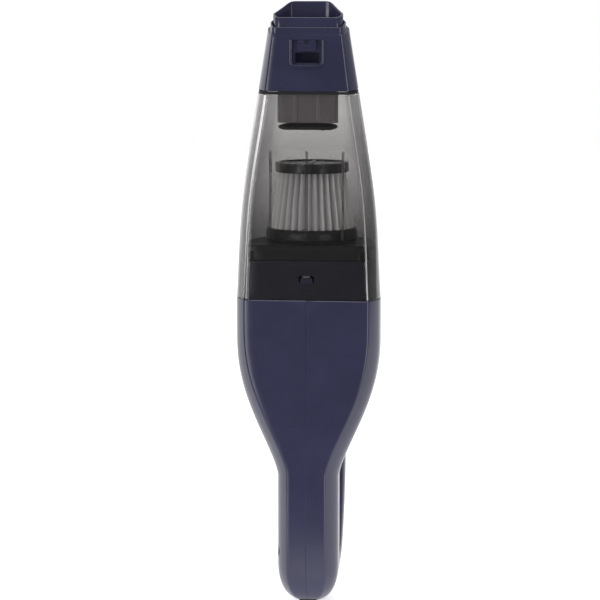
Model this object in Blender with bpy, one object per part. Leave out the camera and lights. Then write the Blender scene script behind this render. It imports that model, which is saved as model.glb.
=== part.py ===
"""Handheld vacuum, in metres. +Z points to the nozzle, -Y is the underside, and the origin is the middle
of the dock block's end face. The casing is two halves that meet at x = 0 and trap everything inside."""

import math

import bmesh
import bpy
from mathutils import Matrix, Vector

# Fits
GAP = 0.0003  # between pieces that touch
SLIDE_ROOM = 0.0006  # between pieces that slide over each other

# Walls
WALL = 0.0022  # casing halves
BIN_WALL = 0.0020
NOZZLE_WALL = 0.0018
DUCT_WALL = 0.0015

# Battery: one cell near the underside and two behind it
CELL_RADIUS = 0.0091
CELL_LENGTH = 0.065
CELL_SPACE = 0.0002
BATTERY_Z = 0.049
CRADLE_PLATE = 0.0020
CELL_ROOM_X = 0.2198  # shares of a cell's radius, left free round the cells
CELL_ROOM_Y = 0.2308

# Motor and fan
MOTOR_RADIUS = 0.018
MOTOR_LENGTH = 0.052
SHAFT_RADIUS = 0.0015
HOUSING_RADIUS = 0.036
HOUSING_WALL = 0.0016
HOUSING_HEIGHT = 0.0237
BLADE_COUNT = 9
BOARD_HEIGHT = 0.028
BOARD_ROOM = 0.0055  # above and below the circuit board
BOARD_SET = 0.0160  # from the motor axis to the board's underside face
BOARD_THICK = 0.0016
MOTOR_ROOM = 0.0020  # more room under the motor, for its boot

# Casing outline
UNDERSIDE = -0.030  # the flat underside's y
FLARE = 0.017  # from the underside to the widest line
EDGE = 0.0013  # rounding of the underside's edges
SPINE_FACE_IN = 0.00805  # how much narrower the underside is than the widest line
BARREL_FACE_IN = 0.0070
BARREL_ROOM_X = 0.0148  # beside the fan housing
BARREL_ROOM_NEAR = 0.0038
BARREL_ROOM_FAR = 0.0078
TAIL_TIP = 0.0009
TAIL_DOME = 0.033
WAIST_ABOVE_BATTERY = 0.049
SHOULDER_BELOW_SEAM = 0.026
SEAM_BELOW_FAN_TOP = 0.002

# Handle loop
HANDLE_HALF = 0.021
HANDLE_THICK = 0.024
GRIP_GAP = 0.039  # deepest finger space
SLIDER_PLACE = 0.235  # shares of the handle's length
LAMP_PLACE = 0.36
GRIP_SCREW_PLACE = 0.44
HEEL_SCREW_PLACE = 0.70

# Bin and nozzle
BIN_LENGTH = 0.1495
BIN_BULGE = 0.0034
TOP_ROOM = 0.0052  # from the filter's ring to the bin's top side, part way along
NOZZLE_BASE_FACE_HALF = 0.0311
NOZZLE_BASE_HALF = 0.0368
NOZZLE_BASE_DEPTH = 0.63636  # share of the barrel's depth
NOZZLE_LENGTH = 0.0435
NOZZLE_RISE = 0.010  # how much higher the nozzle's seam is at the top side
UNDERSIDE_RISE = 0.006  # how much the underside draws in by the mouth
MOUTH_FACE_HALF = 0.0238
MOUTH_HALF = 0.0254
MOUTH_FAR_HALF = 0.0150
MOUTH_DEPTH = 0.0225
MOUTH_CHAMFER = 0.0045
MOUTH_SET_BACK = 0.0021  # of the collar, behind the nozzle's underside
MOUTH_STAND = 0.0120  # lip above the nozzle's main face
MOUTH_RISE = 0.0115
RIM_RISE = 0.015
RIM_HEIGHT = 0.0050
SHOULDER_ROOM = 0.0020  # between the collar and the nozzle's rim at the corners
SEAL_HEIGHT = 0.0020  # black band between bin and nozzle
COLLAR_START = 0.0200  # the collar's lower end, above the nozzle's seam
SNAP_SLOT_START = 0.0215
SNAP_SLOT_LENGTH = 0.018
SNAP_SLOT_HALF = 0.0105
SNAP_RIM = 0.0020
SNAP_RIM_HEIGHT = 0.0016
SNAP_TAB_LENGTH = 0.0075
SNAP_TAB_HALF = 0.0066

# Inlet duct and flap
DUCT_FACE_HALF = 0.0212
DUCT_FAR_HALF = 0.0175
DUCT_DEPTH = 0.0185
DUCT_DROP = 0.0205  # below the nozzle's seam
FLAP_THICK = 0.0018
PIN_RADIUS = 0.0008
FLAP_DROOP = 8.0  # degrees

# Filter
FILTER_ROOM = 0.006
DECK_ABOVE_SEAM = 0.040
DECK_FLANGE = 0.0042
DECK_PLUG = 0.0075  # the part of the deck that drops into the bulkhead
DECK_SHELF = 0.0040  # how far that part stands in from the flange
CATCH_START = 0.0117  # the catch slot, above the seam
CATCH_LENGTH = 0.0063
CATCH_HALF = 0.0064
FIN_SPACE = 0.0265
FIN_HALF = 0.0008
FIN_HEIGHT = 0.0036
FILTER_SEAL = 0.0018
RING_HEIGHT = 0.0073
RING_STEP = 0.0025  # from the ring's edge to the pleats' ridges
CAP_HEIGHT = 0.0072
FLAP_ROOM = 0.0305  # between the filter cap and the duct's outlet
PLEATS = 32
PLEAT_DEPTH = 0.0040
PAPER = 0.0009
PLEAT_TAPER = 0.0063
SPIGOT_RADIUS = 0.0236
SPIGOT_WALL = 0.0016

# Fasteners and controls
SCREW_RADIUS = 0.00125
HEAD_RADIUS = 0.0027
HEAD_HEIGHT = 0.0020
BOSS_WALL = 0.0014
SCREW_REACH = 0.0104
HEAD_DEPTH = 0.0070  # from the joint line to the head's seat
BUTTON_HALF = 0.009
BUTTON_LENGTH = 0.016
BUTTON_PRESS = 0.0025
BUTTON_FLANGE = 0.0015
BUTTON_SINK = 0.0012  # the skin curves away from the flat flange
BUTTON_BELOW_SEAM = 0.0055
LATCH_HEIGHT = 0.009
SLIDER_HALF = 0.0065
SLIDER_LENGTH = 0.020
SLIDER_TRAVEL = 0.006
JACK_RADIUS = 0.0036
JACK_BELOW_WIDEST = 0.0035
JACK_SINK = 0.0019
JACK_Z = 0.041
DOCK_HALF = 0.0068
LAMP_RADIUS = 0.0016
VENT_COUNT = 5
VENT_WIDTH = 0.0022
VENT_LENGTH = 0.028
VENT_PITCH = 0.006

# Worked out from the sizes above
SPINE_ROOM_X = CELL_ROOM_X * CELL_RADIUS
SPINE_ROOM_Y = CELL_ROOM_Y * CELL_RADIUS
CELL_BACK = math.sqrt((2 * CELL_RADIUS + CELL_SPACE) ** 2 - (CELL_RADIUS + CELL_SPACE) ** 2)
SPINE_HALF = 2 * CELL_RADIUS + CELL_SPACE + SPINE_ROOM_X + WALL
SPINE_FAR = UNDERSIDE + 2 * WALL + 2 * CELL_RADIUS + CELL_BACK + 2 * SPINE_ROOM_Y
AXIS_Y = UNDERSIDE + WALL + BARREL_ROOM_NEAR + HOUSING_RADIUS
BARREL_HALF = HOUSING_RADIUS + BARREL_ROOM_X + WALL
BARREL_FAR = AXIS_Y + HOUSING_RADIUS + BARREL_ROOM_FAR + WALL
SPINE_FACE_HALF = SPINE_HALF - SPINE_FACE_IN
BARREL_FACE_HALF = BARREL_HALF - BARREL_FACE_IN
NOZZLE_BASE_FAR = UNDERSIDE + NOZZLE_BASE_DEPTH * (BARREL_FAR - UNDERSIDE)
BATTERY_TOP = BATTERY_Z + CELL_LENGTH
BOARD_Z = BATTERY_TOP + CRADLE_PLATE + BOARD_ROOM
MOTOR_Z = BOARD_Z + BOARD_HEIGHT + BOARD_ROOM + MOTOR_ROOM
MOTOR_TOP = MOTOR_Z + MOTOR_LENGTH
HOUSING_TOP = MOTOR_TOP + HOUSING_HEIGHT
SEAM_Z = HOUSING_TOP - SEAM_BELOW_FAN_TOP
WAIST_Z = BATTERY_Z + WAIST_ABOVE_BATTERY
SHOULDER_Z = SEAM_Z - SHOULDER_BELOW_SEAM
NOZZLE_Z = SEAM_Z + BIN_LENGTH
RIM_Z = NOZZLE_Z + NOZZLE_LENGTH
LIP_Z = RIM_Z + MOUTH_STAND
DECK_TOP = SEAM_Z + DECK_ABOVE_SEAM
RING_Z = DECK_TOP + FILTER_SEAL + 2 * GAP
PLEAT_Z = RING_Z + RING_HEIGHT + GAP
DUCT_END = NOZZLE_Z - DUCT_DROP
CAP_Z = DUCT_END - FLAP_ROOM - CAP_HEIGHT
RING_RADIUS = AXIS_Y - (UNDERSIDE + BIN_WALL) - FILTER_ROOM
PLEAT_RADIUS = RING_RADIUS - RING_STEP
TAIL_TOP = TAIL_TIP + TAIL_DOME
DECK_LOW = DECK_TOP - DECK_FLANGE - DECK_PLUG
NEAR_CELL_Y = UNDERSIDE + WALL + SPINE_ROOM_Y + CELL_RADIUS
JACK_Y = UNDERSIDE + FLARE - JACK_BELOW_WIDEST
SQUARENESS = 2.4  # of the barrel's rounded section
SPINE_SQUARENESS = 3.3  # the spine's, which holds two cells side by side

NAVY = ((0.035, 0.036, 0.085), 0.32, 0.0)
DARK_NAVY = ((0.016, 0.016, 0.028), 0.35, 0.0)
SMOKE = ((0.42, 0.41, 0.40), 0.08, 0.0)
BLACK = ((0.012, 0.012, 0.013), 0.4, 0.0)
GREY = ((0.08, 0.077, 0.078), 0.35, 0.0)
RUBBER = ((0.02, 0.02, 0.02), 0.75, 0.0)
PAPER_WHITE = ((0.72, 0.71, 0.70), 0.85, 0.0)
STEEL = ((0.55, 0.55, 0.56), 0.3, 1.0)
BOARD_GREEN = ((0.02, 0.13, 0.06), 0.45, 0.0)
CELL_WRAP = ((0.05, 0.22, 0.35), 0.4, 0.0)
WHITE_NYLON = ((0.75, 0.75, 0.72), 0.5, 0.0)
RED = ((0.5, 0.02, 0.02), 0.5, 0.0)


# Helpers


def material(name, look):
    colour, roughness, metallic = look
    made = bpy.data.materials.get(name) or bpy.data.materials.new(name)
    made.use_nodes = True
    shader = made.node_tree.nodes["Principled BSDF"]
    shader.inputs["Base Color"].default_value = (*colour, 1)
    shader.inputs["Roughness"].default_value = roughness
    shader.inputs["Metallic"].default_value = metallic
    return made


def add(name, mesh):
    made = bpy.data.objects.new(name, mesh)
    bpy.context.scene.collection.objects.link(made)
    return made


def solid(name, build):
    """An object whose mesh the given function fills in, with its faces turned outwards."""
    shape = bmesh.new()
    build(shape)
    bmesh.ops.remove_doubles(shape, verts=shape.verts, dist=1e-7)
    bmesh.ops.recalc_face_normals(shape, faces=shape.faces)
    mesh = bpy.data.meshes.new(name)
    shape.to_mesh(mesh)
    shape.free()
    return add(name, mesh)


def finish(part, look_name, look, crease=35):
    part.data.materials.clear()
    part.data.materials.append(material(look_name, look))
    part.data.shade_smooth()
    part.data.set_sharp_from_angle(angle=math.radians(crease))
    return part


def combine(part, tools, operation, solver="EXACT"):
    """The part after a Boolean with each tool in turn. The tools are used up."""
    for tool in tools:
        step = part.modifiers.new(operation.lower(), "BOOLEAN")
        step.operation = operation
        step.solver = solver
        step.object = tool
        bpy.context.view_layer.update()
        graph = bpy.context.evaluated_depsgraph_get()
        result = bpy.data.meshes.new_from_object(part.evaluated_get(graph))
        part.modifiers.clear()
        old = part.data
        part.data = result
        bpy.data.meshes.remove(old)
        used = tool.data
        bpy.data.objects.remove(tool)
        bpy.data.meshes.remove(used)
    return part


def cut(part, *tools):
    return combine(part, tools, "DIFFERENCE")


def cut_casing(part, *tools):
    """Cuts in the thin casing, where the exact solver leaves open edges."""
    return combine(part, tools, "DIFFERENCE", "MANIFOLD")


def join(part, *tools):
    return combine(part, tools, "UNION")


def copy_of(part, name):
    return add(name, part.data.copy())


def loft(name, rings):
    """A closed solid through rings of equal point count, with flat ends."""

    def build(shape):
        rows = [[shape.verts.new(point) for point in ring] for ring in rings]
        count = len(rows[0])
        for low, high in zip(rows, rows[1:]):
            for i in range(count):
                j = (i + 1) % count
                shape.faces.new((low[i], low[j], high[j], high[i]))
        shape.faces.new(list(reversed(rows[0])))
        shape.faces.new(rows[-1])

    return solid(name, build)


def sleeve(name, outer, inner):
    """A tube with open ends between an outer and an inner set of rings."""

    def build(shape):
        rows = [[shape.verts.new(point) for point in ring] for ring in outer + inner[::-1]]
        count = len(rows[0])
        for low, high in zip(rows, rows[1:] + rows[:1]):
            for i in range(count):
                j = (i + 1) % count
                shape.faces.new((low[i], low[j], high[j], high[i]))

    return solid(name, build)


def box(name, low, high, turn=None):
    def build(shape):
        bmesh.ops.create_cube(shape, size=1)
        for vert in shape.verts:
            for k in range(3):
                vert.co[k] = high[k] if vert.co[k] > 0 else low[k]
            if turn:
                vert.co = turn @ vert.co

    return solid(name, build)


def rod(name, start, end, radius, sides=20, turn=None):
    """A round bar between two points."""
    start, end = Vector(start), Vector(end)
    spin = Vector((0, 0, 1)).rotation_difference(end - start).to_matrix().to_4x4()
    place = Matrix.Translation((start + end) / 2) @ spin
    if turn:
        place = turn @ place

    def build(shape):
        bmesh.ops.create_cone(
            shape, cap_ends=True, segments=sides, radius1=radius, radius2=radius,
            depth=(end - start).length, matrix=place,
        )

    return solid(name, build)


def circle(radius, z, y=None, sides=36):
    centre = AXIS_Y if y is None else y
    return [
        Vector((radius * math.cos(a), centre + radius * math.sin(a), z))
        for a in (2 * math.pi * i / sides for i in range(sides))
    ]


def turned(name, profile, sides=36):
    """A closed ring of revolution about the motor axis, from (radius, z) points."""

    def build(shape):
        rows = [[shape.verts.new(p) for p in circle(r, z, sides=sides)] for r, z in profile]
        for low, high in zip(rows, rows[1:] + rows[:1]):
            for i in range(sides):
                j = (i + 1) % sides
                shape.faces.new((low[i], low[j], high[j], high[i]))

    return solid(name, build)


def bend(start, control, end, t):
    """A point on the quadratic curve that rounds a corner."""
    return tuple(
        (1 - t) ** 2 * a + 2 * t * (1 - t) * c + t * t * b for a, c, b in zip(start, control, end)
    )


def spline(points, at):
    """A smooth value through (place, value) points, in rising order of place."""
    if at <= points[0][0]:
        return points[0][1]
    if at >= points[-1][0]:
        return points[-1][1]
    slopes = [(b[1] - a[1]) / (b[0] - a[0]) for a, b in zip(points, points[1:])]
    tangents = [slopes[0]] + [(a + b) / 2 for a, b in zip(slopes, slopes[1:])] + [slopes[-1]]
    i = max(k for k in range(len(points) - 1) if points[k][0] <= at)
    step = points[i + 1][0] - points[i][0]
    t = (at - points[i][0]) / step
    return (
        (2 * t**3 - 3 * t**2 + 1) * points[i][1]
        + (t**3 - 2 * t**2 + t) * step * tangents[i]
        + (3 * t**2 - 2 * t**3) * points[i + 1][1]
        + (t**3 - t**2) * step * tangents[i + 1]
    )


# Sections of the casing: a flat underside, sides that flare to the widest line, and a round or boxy top


class Section:
    """One cross-section. boxy goes from 0, a round top, to 1, a flat top of half-width far_half."""

    def __init__(
        self, face_half, half, near, wide, far, edge=EDGE, boxy=0.0, far_half=0.0, square=SQUARENESS
    ):
        self.face_half = face_half
        self.half = half
        self.near = near
        self.wide = wide
        self.far = far
        self.edge = edge
        self.boxy = boxy
        self.far_half = far_half
        self.square = square

    def inset(self, depth):
        return Section(
            self.face_half - 0.9 * depth, self.half - depth, self.near + depth, self.wide,
            self.far - depth, max(self.edge - 0.5 * depth, 0.0005), self.boxy,
            self.far_half - 0.6 * depth, self.square,
        )

    def shrink(self, share, centre):
        """The section scaled about a line at y = centre."""
        def move(y):
            return centre + (y - centre) * share

        return Section(
            self.face_half * share, self.half * share, move(self.near), move(self.wide),
            move(self.far), self.edge, self.boxy, self.far_half * share, self.square,
        )

    def side(self):
        """The +X half of the outline, from the middle of the underside to the middle of the top."""
        corner = (self.face_half, self.near)
        flare = Vector((self.half - self.face_half, self.wide - self.near)).normalized()
        start = (self.face_half - self.edge, self.near)
        end = tuple(Vector(corner) + flare * self.edge)
        points = [(0, self.near), (self.face_half * 0.5, self.near)]
        points += [bend(start, corner, end, t) for t in (0, 0.5, 1)]
        shoulder = (self.half, self.wide - 0.4 * (self.wide - self.near))
        points += [bend(end, shoulder, (self.half, self.wide), t) for t in (0.35, 0.7, 1)]
        depth = self.far - self.wide
        top = (self.far_half, self.far)
        slant = Vector((self.half - self.far_half, self.wide - self.far)).normalized()
        before = tuple(Vector(top) + slant * 0.003)
        after = (self.far_half - 0.003, self.far)
        boxed = [
            tuple(Vector((self.half, self.wide)).lerp(Vector(before), t)) for t in (0.35, 0.7)
        ]
        boxed += [before, bend(before, top, after, 0.5), after, (after[0] * 0.5, self.far), (0, self.far)]
        for i, square in enumerate(boxed):
            angle = math.pi / 2 * (i + 1) / len(boxed)
            bow = 2 / self.square
            round_x = self.half * max(math.cos(angle), 0) ** bow if i < 6 else 0
            round_y = self.wide + depth * math.sin(angle) ** bow
            points.append((
                round_x + (square[0] - round_x) * self.boxy,
                round_y + (square[1] - round_y) * self.boxy,
            ))
        return points

    def ring(self, z, rise=0.0):
        """The outline as a closed ring. Its top side may stand higher than its underside by a rise."""
        right = self.side()
        left = [(-x, y) for x, y in right[-2:0:-1]]
        span = self.far - self.near
        return [
            Vector((x, y, z + rise * max((y - self.near) / span, 0) ** 1.25)) for x, y in right + left
        ]


def swell(share):
    """Rise from the waist to the shoulder: a short hollow, then one long round."""
    share = min(max(share, 0), 1)
    return 1 - (1 - share**1.4) ** 2.5


def body_section(z):
    span = SHOULDER_Z - WAIST_Z
    wide = swell((z - WAIST_Z) / span)
    face = swell((z - WAIST_Z - 0.03 * span) / (1.04 * span))
    return Section(
        SPINE_FACE_HALF + (BARREL_FACE_HALF - SPINE_FACE_HALF) * face,
        SPINE_HALF + (BARREL_HALF - SPINE_HALF) * wide,
        UNDERSIDE, UNDERSIDE + FLARE, SPINE_FAR + (BARREL_FAR - SPINE_FAR) * wide,
        square=SPINE_SQUARENESS + (SQUARENESS - SPINE_SQUARENESS) * wide,
    )


def front_section(z):
    """Bin and nozzle, from the seam to the nozzle's rim."""
    middle = SEAM_Z + 0.48 * BIN_LENGTH

    def between(low, high):
        return low + (high - low) * 0.48 + BIN_BULGE

    def profile(low, high, tip):
        return [(SEAM_Z, low), (middle, between(low, high)), (NOZZLE_Z, high), (RIM_Z, tip)]

    draw = (z - SEAM_Z) / (RIM_Z - SEAM_Z)
    boxy = min(max((z - middle) / (RIM_Z - middle), 0), 1)
    near = UNDERSIDE + UNDERSIDE_RISE * max(draw, 0)
    mouth_far = UNDERSIDE + UNDERSIDE_RISE + MOUTH_DEPTH + 2 * SHOULDER_ROOM
    half = spline(profile(BARREL_HALF, NOZZLE_BASE_HALF, MOUTH_HALF + 2 * SHOULDER_ROOM), z)
    return Section(
        spline(profile(BARREL_FACE_HALF, NOZZLE_BASE_FACE_HALF, MOUTH_FACE_HALF + 0.0018), z),
        half, near, near + FLARE * (1 - 0.32 * draw),
        spline([(SEAM_Z, BARREL_FAR), (middle, AXIS_Y + RING_RADIUS + TOP_ROOM),
                (NOZZLE_Z, NOZZLE_BASE_FAR), (RIM_Z, mouth_far)], z),
        EDGE, boxy, half * 0.62,
    )


def front_rise(z):
    """How much higher a section of the bin or nozzle stands at its top side."""
    start = SEAM_Z + 0.42 * BIN_LENGTH
    return spline([(start, 0), (NOZZLE_Z, NOZZLE_RISE), (RIM_Z, RIM_RISE)], z)


def front_rings(heights, depth=0.0):
    return [front_section(z).inset(depth).ring(z, front_rise(z)) for z in heights]


def steps(low, high, count):
    return [low + (high - low) * i / count for i in range(count + 1)]


# Handle loop, swept along a line in the middle plane


def handle_path():
    reach = SPINE_FAR + GRIP_GAP + 0.5 * HANDLE_THICK
    grip = WAIST_Z + 0.018
    return [
        Vector((0, BARREL_FAR - 0.018, SEAM_Z - 0.012)),
        Vector((0, reach - 0.006, SEAM_Z - 0.039)),
        Vector((0, reach, SEAM_Z - 0.074)),
        Vector((0, reach - 0.001, grip)),
        Vector((0, reach - 0.008, grip - 0.038)),
        Vector((0, reach - 0.021, grip - 0.068)),
        Vector((0, reach - 0.040, grip - 0.090)),
        Vector((0, reach - 0.061, grip - 0.101)),
    ]


def handle_point(share):
    """Centre and direction, towards the tail, at a share of the handle's length."""
    knots = handle_path()
    place = share * (len(knots) - 1)
    i = min(int(place), len(knots) - 2)
    t = place - i
    a = knots[max(i - 1, 0)]
    b, c = knots[i], knots[i + 1]
    d = knots[min(i + 2, len(knots) - 1)]
    centre = 0.5 * (
        2 * b + (c - a) * t + (2 * a - 5 * b + 4 * c - d) * t**2 + (3 * b - a - 3 * c + d) * t**3
    )
    along = 0.5 * ((c - a) + 2 * (2 * a - 5 * b + 4 * c - d) * t + 3 * (3 * b - a - 3 * c + d) * t**2)
    return centre, along.normalized()


def handle_frame(share):
    """A matrix on the handle's outer skin: x across, y towards the nozzle, z out of the skin."""
    centre, along = handle_point(share)
    out = Vector((0, -along.z, along.y))
    if out.y < 0:
        out = -out
    nose = -along
    skin = centre + out * HANDLE_THICK / 2
    turn = Matrix((Vector((1, 0, 0)), nose, out)).transposed()
    return Matrix.Translation(skin) @ turn.to_4x4()


def handle_solid(name, depth):
    rings = []
    for i in range(19):
        share = i / 18
        centre, along = handle_point(share)
        out = Vector((0, -along.z, along.y))
        narrow = 1 - 0.10 * max(share - 0.8, 0) / 0.2
        half = HANDLE_HALF * narrow - depth
        thick = HANDLE_THICK / 2 - depth
        ring = []
        for k in range(20):
            angle = 2 * math.pi * k / 20
            bow = 2 / 2.7
            x = half * math.copysign(abs(math.cos(angle)) ** bow, math.cos(angle))
            y = thick * math.copysign(abs(math.sin(angle)) ** bow, math.sin(angle))
            ring.append(centre + Vector((x, 0, 0)) + out * y)
        rings.append(ring)
    return loft(name, rings)


# Casing halves


def screw_places():
    """(y, z) of each screw, which all run along X."""
    grip = handle_point(GRIP_SCREW_PLACE)[0]
    heel = handle_point(HEEL_SCREW_PLACE)[0]
    return {
        "shoulder": (BARREL_FAR - 0.014, SEAM_Z - 0.044),
        "grip": (grip.y, grip.z),
        "heel": (heel.y, heel.z),
        "tail": (SPINE_FAR - 0.008, TAIL_TOP - 0.010),
        "waist": (SPINE_FAR + 0.002, BATTERY_TOP + CRADLE_PLATE + BOARD_ROOM + 0.004),
    }


def body_heights():
    rises = (0, 0.05, 0.11, 0.19, 0.29, 0.41, 0.55, 0.7, 0.85, 1)
    return [TAIL_TOP + 0.5 * (WAIST_Z - TAIL_TOP)] + [
        WAIST_Z + (SHOULDER_Z - WAIST_Z) * share for share in rises
    ]


def body_loft(name, depth, top):
    rings = []
    dome = TAIL_DOME - 1.6 * depth
    bow = 2 / SQUARENESS
    tail = body_section(TAIL_TOP).inset(depth)
    for degrees in (10, 22, 36, 50, 64, 78, 90):
        angle = math.radians(degrees)
        share = math.sin(angle) ** bow
        drop = dome * max(math.cos(angle), 0) ** bow
        rings.append(tail.shrink(share, 0).ring(TAIL_TOP - drop))
    rings += [body_section(z).inset(depth).ring(z) for z in body_heights() + [top]]
    return loft(name, rings)


def boss_bars(name_of, radius, low, high):
    return [
        rod(name_of + place, (low, y, z), (high, y, z), radius, 12)
        for place, (y, z) in screw_places().items()
    ]


def casing():
    boss = HEAD_RADIUS + GAP + BOSS_WALL
    cavity = join(body_loft("cavity", WALL, SEAM_Z + 0.002), handle_solid("handle_cavity", WALL))
    cavity = cut(cavity, *boss_bars("boss_", boss, -0.08, 0.08))
    shell = join(body_loft("shell", 0, SEAM_Z), handle_solid("handle_skin", 0))
    shell = cut(shell, cavity)
    far = BARREL_FAR
    window = box(
        "window", (-BUTTON_HALF - GAP, far - 0.008, button_low() - GAP),
        (BUTTON_HALF + GAP, far + 0.01, button_low() + BUTTON_LENGTH + GAP),
    )
    frame = slider_frame()
    slot_half = 0.5 * (SLIDER_LENGTH - 0.010 + SLIDER_TRAVEL) + GAP
    land_half = 0.5 * (SLIDER_LENGTH + SLIDER_TRAVEL) + SLIDE_ROOM
    land = box(
        "land", (-SLIDER_HALF - SLIDE_ROOM, -land_half, -0.0008),
        (SLIDER_HALF + SLIDE_ROOM, land_half, 0.008), frame,
    )
    slot = box(
        "slot", (-SLIDER_HALF + 0.002 - GAP, -slot_half, -0.006),
        (SLIDER_HALF - 0.002 + GAP, slot_half, 0.008), frame,
    )
    pocket = box("pocket", *dock_pocket())
    lamp = rod("lamp", (0, 0, -0.006), (0, 0, 0.006), LAMP_RADIUS + GAP, 16, lamp_frame())
    shell = cut_casing(shell, window, land, slot, pocket, lamp)
    halves = {}
    for side, name in ((-1, "body_left"), (1, "body_right")):
        edges = sorted((side * GAP / 2, side * 0.1))
        keep = box("keep", (edges[0], -0.1, -0.1), (edges[1], 0.2, SEAM_Z + 0.1))
        half = combine(copy_of(shell, name), [keep], "INTERSECT", "MANIFOLD")
        halves[name] = cut_casing(half, *vents(side))
    whole = shell.data
    bpy.data.objects.remove(shell)
    bpy.data.meshes.remove(whole)
    left = cut_casing(
        halves["body_left"],
        *boss_bars("head_", HEAD_RADIUS + GAP, -0.1, -HEAD_DEPTH),
        *boss_bars("way_", SCREW_RADIUS + GAP, -0.1, 0.01),
        rod("jack_hole", (-0.1, JACK_Y, JACK_Z), (0, JACK_Y, JACK_Z), JACK_RADIUS + GAP, 24),
    )
    pilots = boss_bars("pilot_", SCREW_RADIUS + GAP / 2, -0.01, SCREW_REACH + GAP)
    right = cut_casing(halves["body_right"], *pilots)
    finish(left, "navy", NAVY)
    finish(right, "navy", NAVY)


def vents(side):
    low = MOTOR_Z - 0.010
    first = AXIS_Y - 0.004
    return [
        box(
            f"vent_{i}", (min(side * 0.024, side * 0.1), first + i * VENT_PITCH, low),
            (max(side * 0.024, side * 0.1), first + i * VENT_PITCH + VENT_WIDTH, low + VENT_LENGTH),
        )
        for i in range(VENT_COUNT)
    ]


def screws():
    for place, (y, z) in screw_places().items():
        top = -HEAD_DEPTH - GAP
        shank = rod(f"screw_{place}", (top - 0.001, y, z), (SCREW_REACH, y, z), SCREW_RADIUS, 8)
        head = rod("head", (top - HEAD_HEIGHT, y, z), (top, y, z), HEAD_RADIUS, 12)
        screw = join(shank, head)
        reach, deep = 0.0016, 0.0010
        outer = top - HEAD_HEIGHT
        cross = [
            box("a", (outer - 0.001, y - reach, z - 0.0003), (outer + deep, y + reach, z + 0.0003)),
            box("b", (outer - 0.001, y - 0.0003, z - reach), (outer + deep, y + 0.0003, z + reach)),
        ]
        finish(cut(screw, *cross), "steel", STEEL)


# Controls and sockets


def button_low():
    return SEAM_Z - BUTTON_BELOW_SEAM - BUTTON_LENGTH


def release_button():
    low = button_low()
    high = low + BUTTON_LENGTH
    skin = BARREL_FAR
    flange = skin - WALL - SLIDE_ROOM - BUTTON_SINK
    cap = box(
        "release_button", (-BUTTON_HALF, flange - 0.001, low), (BUTTON_HALF, skin + 0.0016, high),
    )
    plate = box(
        "plate", (-BUTTON_HALF - BUTTON_FLANGE, flange - 0.0025, low - BUTTON_FLANGE),
        (BUTTON_HALF + BUTTON_FLANGE, flange, high + BUTTON_FLANGE),
    )
    latch_top = SEAM_Z + LATCH_HEIGHT
    bin_skin = front_section(latch_top).far - BIN_WALL - 2 * SLIDE_ROOM - BUTTON_SINK
    arm = box("arm", (-0.006, flange - 0.0025, high), (0.006, flange - 0.0007, latch_top))
    nose = box("nose", (-0.006, flange - 0.0020, latch_top - 0.004), (0.006, bin_skin, latch_top))
    finish(join(cap, plate, arm, nose), "navy", NAVY)


def slider_frame():
    return handle_frame(SLIDER_PLACE)


def power_switch():
    frame = slider_frame()
    back = -SLIDER_TRAVEL / 2
    half = SLIDER_LENGTH / 2
    neck = half - 0.005
    cap = box(
        "power_switch", (-SLIDER_HALF, back - half, -0.0004), (SLIDER_HALF, back + half, 0.0026), frame,
    )
    stem = box(
        "stem", (-SLIDER_HALF + 0.002, back - neck, -0.0045),
        (SLIDER_HALF - 0.002, back + neck, 0.001), frame,
    )
    foot = box(
        "foot", (-SLIDER_HALF + 0.0005, back - neck - 0.0010, -0.0045),
        (SLIDER_HALF - 0.0005, back + neck + 0.0010, -WALL - 2 * SLIDE_ROOM), frame,
    )
    finish(join(cap, stem, foot), "black_plastic", BLACK)


def switch_unit():
    frame = slider_frame()
    body = box("switch_unit", (-0.0058, -0.009, -0.0120), (0.0058, 0.009, -0.0052), frame)
    pins = [
        box("pin", (-0.0006, y - 0.001, -0.0150), (0.0006, y + 0.001, -0.0115), frame)
        for y in (-0.006, 0, 0.006)
    ]
    finish(join(body, *pins), "black_plastic", BLACK)


def lamp_frame():
    return handle_frame(LAMP_PLACE)


def charge_lamp():
    frame = lamp_frame()
    lens = rod("charge_lamp", (0, 0, -0.004), (0, 0, 0.0004), LAMP_RADIUS, 16, frame)
    foot = rod("foot", (0, 0, -0.005), (0, 0, -WALL - SLIDE_ROOM), LAMP_RADIUS + 0.001, 16, frame)
    finish(join(lens, foot), "lamp_lens", WHITE_NYLON)


def charge_jack():
    face = -SPINE_HALF + JACK_SINK
    seat = -SPINE_HALF + 2 * WALL + 0.0012
    back = face + 0.011

    def bar(name, start, end, radius, sides):
        return rod(name, (start, JACK_Y, JACK_Z), (end, JACK_Y, JACK_Z), radius, sides)

    jack = join(
        bar("charge_jack", face, back, JACK_RADIUS, 24), bar("collar", seat, back, JACK_RADIUS + 0.0012, 24),
    )
    jack = cut(jack, bar("bore", face - 0.001, back - 0.002, JACK_RADIUS - 0.0009, 20))
    finish(join(jack, bar("pin", face + 0.0012, back - 0.0015, 0.0008, 12)), "black_plastic", BLACK)


def dock_pocket():
    return (-DOCK_HALF, -0.0165, -0.01), (DOCK_HALF, 0.0044, 0.0075)


def dock_block():
    (x0, y0, _), (x1, y1, top) = dock_pocket()
    base = box("dock_block", (x0 + GAP, y0 + 0.0012, 0.0026), (x1 - GAP, y1 - GAP, top - GAP))
    tongue = box("tongue", (-0.0040, y1 - 0.0104, top - 0.001), (0.0040, y1 - 0.0040, top + 0.0040))
    foot = box("foot", (-0.0042, -0.0042, 0), (0.0042, 0.0036, 0.003))
    finish(join(base, tongue, foot), "black_plastic", BLACK)


# Battery, board and motor


def cell_places():
    back = NEAR_CELL_Y + CELL_BACK
    side = CELL_RADIUS + CELL_SPACE
    return {
        "battery_cell_1": (0, NEAR_CELL_Y),
        "battery_cell_2": (-side, back),
        "battery_cell_3": (side, back),
    }


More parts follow.
